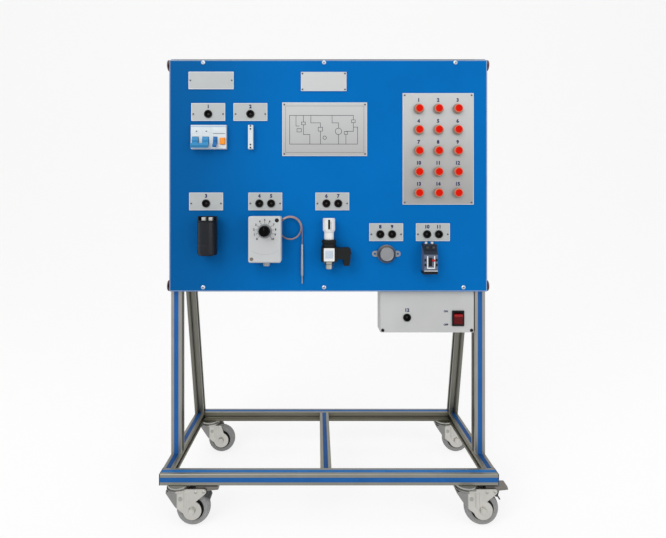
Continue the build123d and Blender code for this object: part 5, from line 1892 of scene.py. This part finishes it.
@dataclass
class DiscThermostat(Assembly):
    """Snap-action disc thermostat on the panel."""

    centre: Pair = (109.4, 475.3)
    face_radius: float = 12.6
    step_width: float = 3.4
    step_back: float = -80.6
    cup_front: float = -86.0
    bead: Sequence[Pair] = (
        (11.0, 0.0), (12.3, 0.0), (12.3, 0.25), (11.9, 0.5), (11.4, 0.5), (11.0, 0.25)
    )

    def dress(self, dresser: Dresser) -> None:
        """Give the disc thermostat its finishes."""
        dresser.dress("disc_thermostat", [Finishes.disc, Finishes.disc_ring], self.part)

    def part(self, middle: Vector, normal: Vector) -> int:
        """Pick the tinted step round the face, or bare metal.

        Args:
            middle: The face's middle, in millimetres.
            normal: Its normal, which is not used.

        Returns:
            Number of the finish.
        """
        reach = math.hypot(middle.x - self.centre[0], middle.z - self.centre[1])
        on_step = self.face_radius + 0.2 < reach < self.face_radius + self.step_width
        return int(on_step and middle.y < self.step_back)

    def build(self) -> None:
        """Add a rolled bead round the cup's face."""
        x, z = self.centre
        bead = Shape().lathe(self.bead, (x, self.cup_front, z), steps=48)
        bead.piece("disc_bead", Finishes.disc, "disc_aluminium")


@dataclass
class OverloadRelay(Assembly):
    """Overload relay with its strap, side cut-outs and terminals."""

    x: float = 188.0
    bottom: float = 439.5
    front: float = -98.0
    half: float = 12.5
    base_height: float = 5.52
    dark_from: float = 36.5
    prongs_from: float = 55.55
    strap_reach: float = 6.4
    cut_reach: float = 10.2
    cut_levels: Pair = (15.0, 24.0)
    stud_reach: float = 5.6
    stud_height: float = 49.0
    stud_front: float = -94.4
    stud: Sequence[Pair] = ((2.4, -0.2), (2.4, 0.5), (1.5, 1.0), (0.2, 1.1))

    def dress(self, dresser: Dresser) -> None:
        """Give the relay's nodes their finishes.

        Args:
            dresser: Puts the finishes on.
        """
        dresser.dress(
            "overload_relay",
            [Finishes.relay, Finishes.relay_dark, Finishes.relay_base, Finishes.switch_white],
            self.part,
        )
        dresser.dress("relay_reset_button", [Finishes.reset])

    def part(self, middle: Vector, normal: Vector) -> int:
        """Pick base, dark upper part, prongs or housing by a face's height.

        Args:
            middle: The face's middle, in millimetres.
            normal: Its normal, which is not used.

        Returns:
            Number of the finish.
        """
        height = middle.z - self.bottom
        if height < self.base_height:
            return 2
        return 3 if height > self.prongs_from else int(height > self.dark_from)

    def build(self) -> None:
        """Add the white strap with a base line, the dark cut-outs and the terminals' studs."""
        x, z, y = self.x, self.bottom, self.front
        strap = Shape()
        for side in (-1, 1):
            leg = x + side * self.strap_reach
            strap.slab((leg - 1.0, y - 0.5, z + 12.5), (leg + 1.0, y + 0.3, z + 34.0), 0.2)
        strap.slab((x - 7.4, y - 0.5, z + 10.6), (x + 7.4, y + 0.3, z + 12.6), 0.2)
        strap.slab((x - self.half, -98.3, z + 5.9), (x + self.half, -95.5, z + 7.1), 0.2)
        strap.piece("relay_strap", Finishes.switch_white, "relay_grey")
        cuts = Shape()
        for side in (-1, 1):
            for level in self.cut_levels:
                across, low = x + side * self.cut_reach, z + level
                cuts.slab((across - 1.9, y - 0.2, low), (across + 1.9, y + 0.3, low + 5.0), 0.2)
        cuts.slab((x - 4.4, y - 0.2, z + 15.0), (x + 2.0, y + 0.3, z + 31.0), 0.2)
        cuts.piece("relay_cutouts", Finishes.relay_base, "relay_grey")
        studs = Shape()
        for side in (-1, 1):
            place = (x + side * self.stud_reach, self.stud_front, z + self.stud_height)
            studs.lathe(self.stud, place, steps=20)
        studs.piece("relay_studs", Finishes.contact, "relay_grey")


@dataclass
class PowerBox(Assembly):
    """Power box with its front plate, rocker switch and mains inlet."""

    rocker: Pair = (247.9, 351.2)
    front: float = -64.0
    lit_from: float = 3.2
    board_top: float = 331.9
    marks: Sequence[tuple[str, float, Pair, float]] = (
        ("ON", 3.4, (224.6, 364.4), 0.08),
        ("OFF", 3.4, (224.8, 338.9), 0.08),
        ("12", 6.2, (150.6, 366.8), 0.075),
    )

    def dress(self, dresser: Dresser) -> None:
        """Give the box's nodes their finishes.

        Args:
            dresser: Puts the finishes on.
        """
        dresser.dress("power_box_shell", [Finishes.box])
        dresser.dress("power_box_front", [Finishes.box_front])
        dresser.dress("power_fittings", [Finishes.fitting])
        dresser.dress("power_rocker", [Finishes.rocker, Finishes.rocker_light], self.rocker_part)
        dresser.dress("power_supply", [Finishes.board, Finishes.block], self.supply_part)

    def rocker_part(self, middle: Vector, normal: Vector) -> int:
        """Pick the rocker's raised upper end, painted lighter as lit, or its lower face."""
        return int(middle.z > self.rocker[1] + self.lit_from)

    def supply_part(self, middle: Vector, normal: Vector) -> int:
        """Pick the board or what stands on it."""
        return int(middle.z > self.board_top)

    def build(self) -> None:
        """Mark the switch and number the box's socket."""
        marks = Shape()
        for word, height, place, bold in self.marks:
            marks.words(word, height, place, self.front - 0.1, self.front + 0.05, bold)
        marks.piece("power_marks", Finishes.ink, "box_front")


def main() -> None:
    """Load the frame, build and dress every sub-assembly, and keep the sizes."""
    logging.basicConfig(level=logging.INFO, format="%(message)s")
    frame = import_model()
    Studio().build()
    dresser = Dresser(frame["nodes"])
    assemblies: Sequence[Assembly] = (
        ProfileFrame(),
        Castors(),
        Panel(),
        LabelPlates(),
        SignalSockets(),
        FaultButtons(),
        Breaker(),
        Capacitor(),
        Thermostat(),
        PressureSwitch(),
        DiscThermostat(),
        OverloadRelay(),
        PowerBox(),
    )
    for assembly in assemblies:
        assembly.dress(dresser)
        assembly.build()
        LOG.info("finished %s", type(assembly).__name__)


if __name__ == "__main__":
    main()
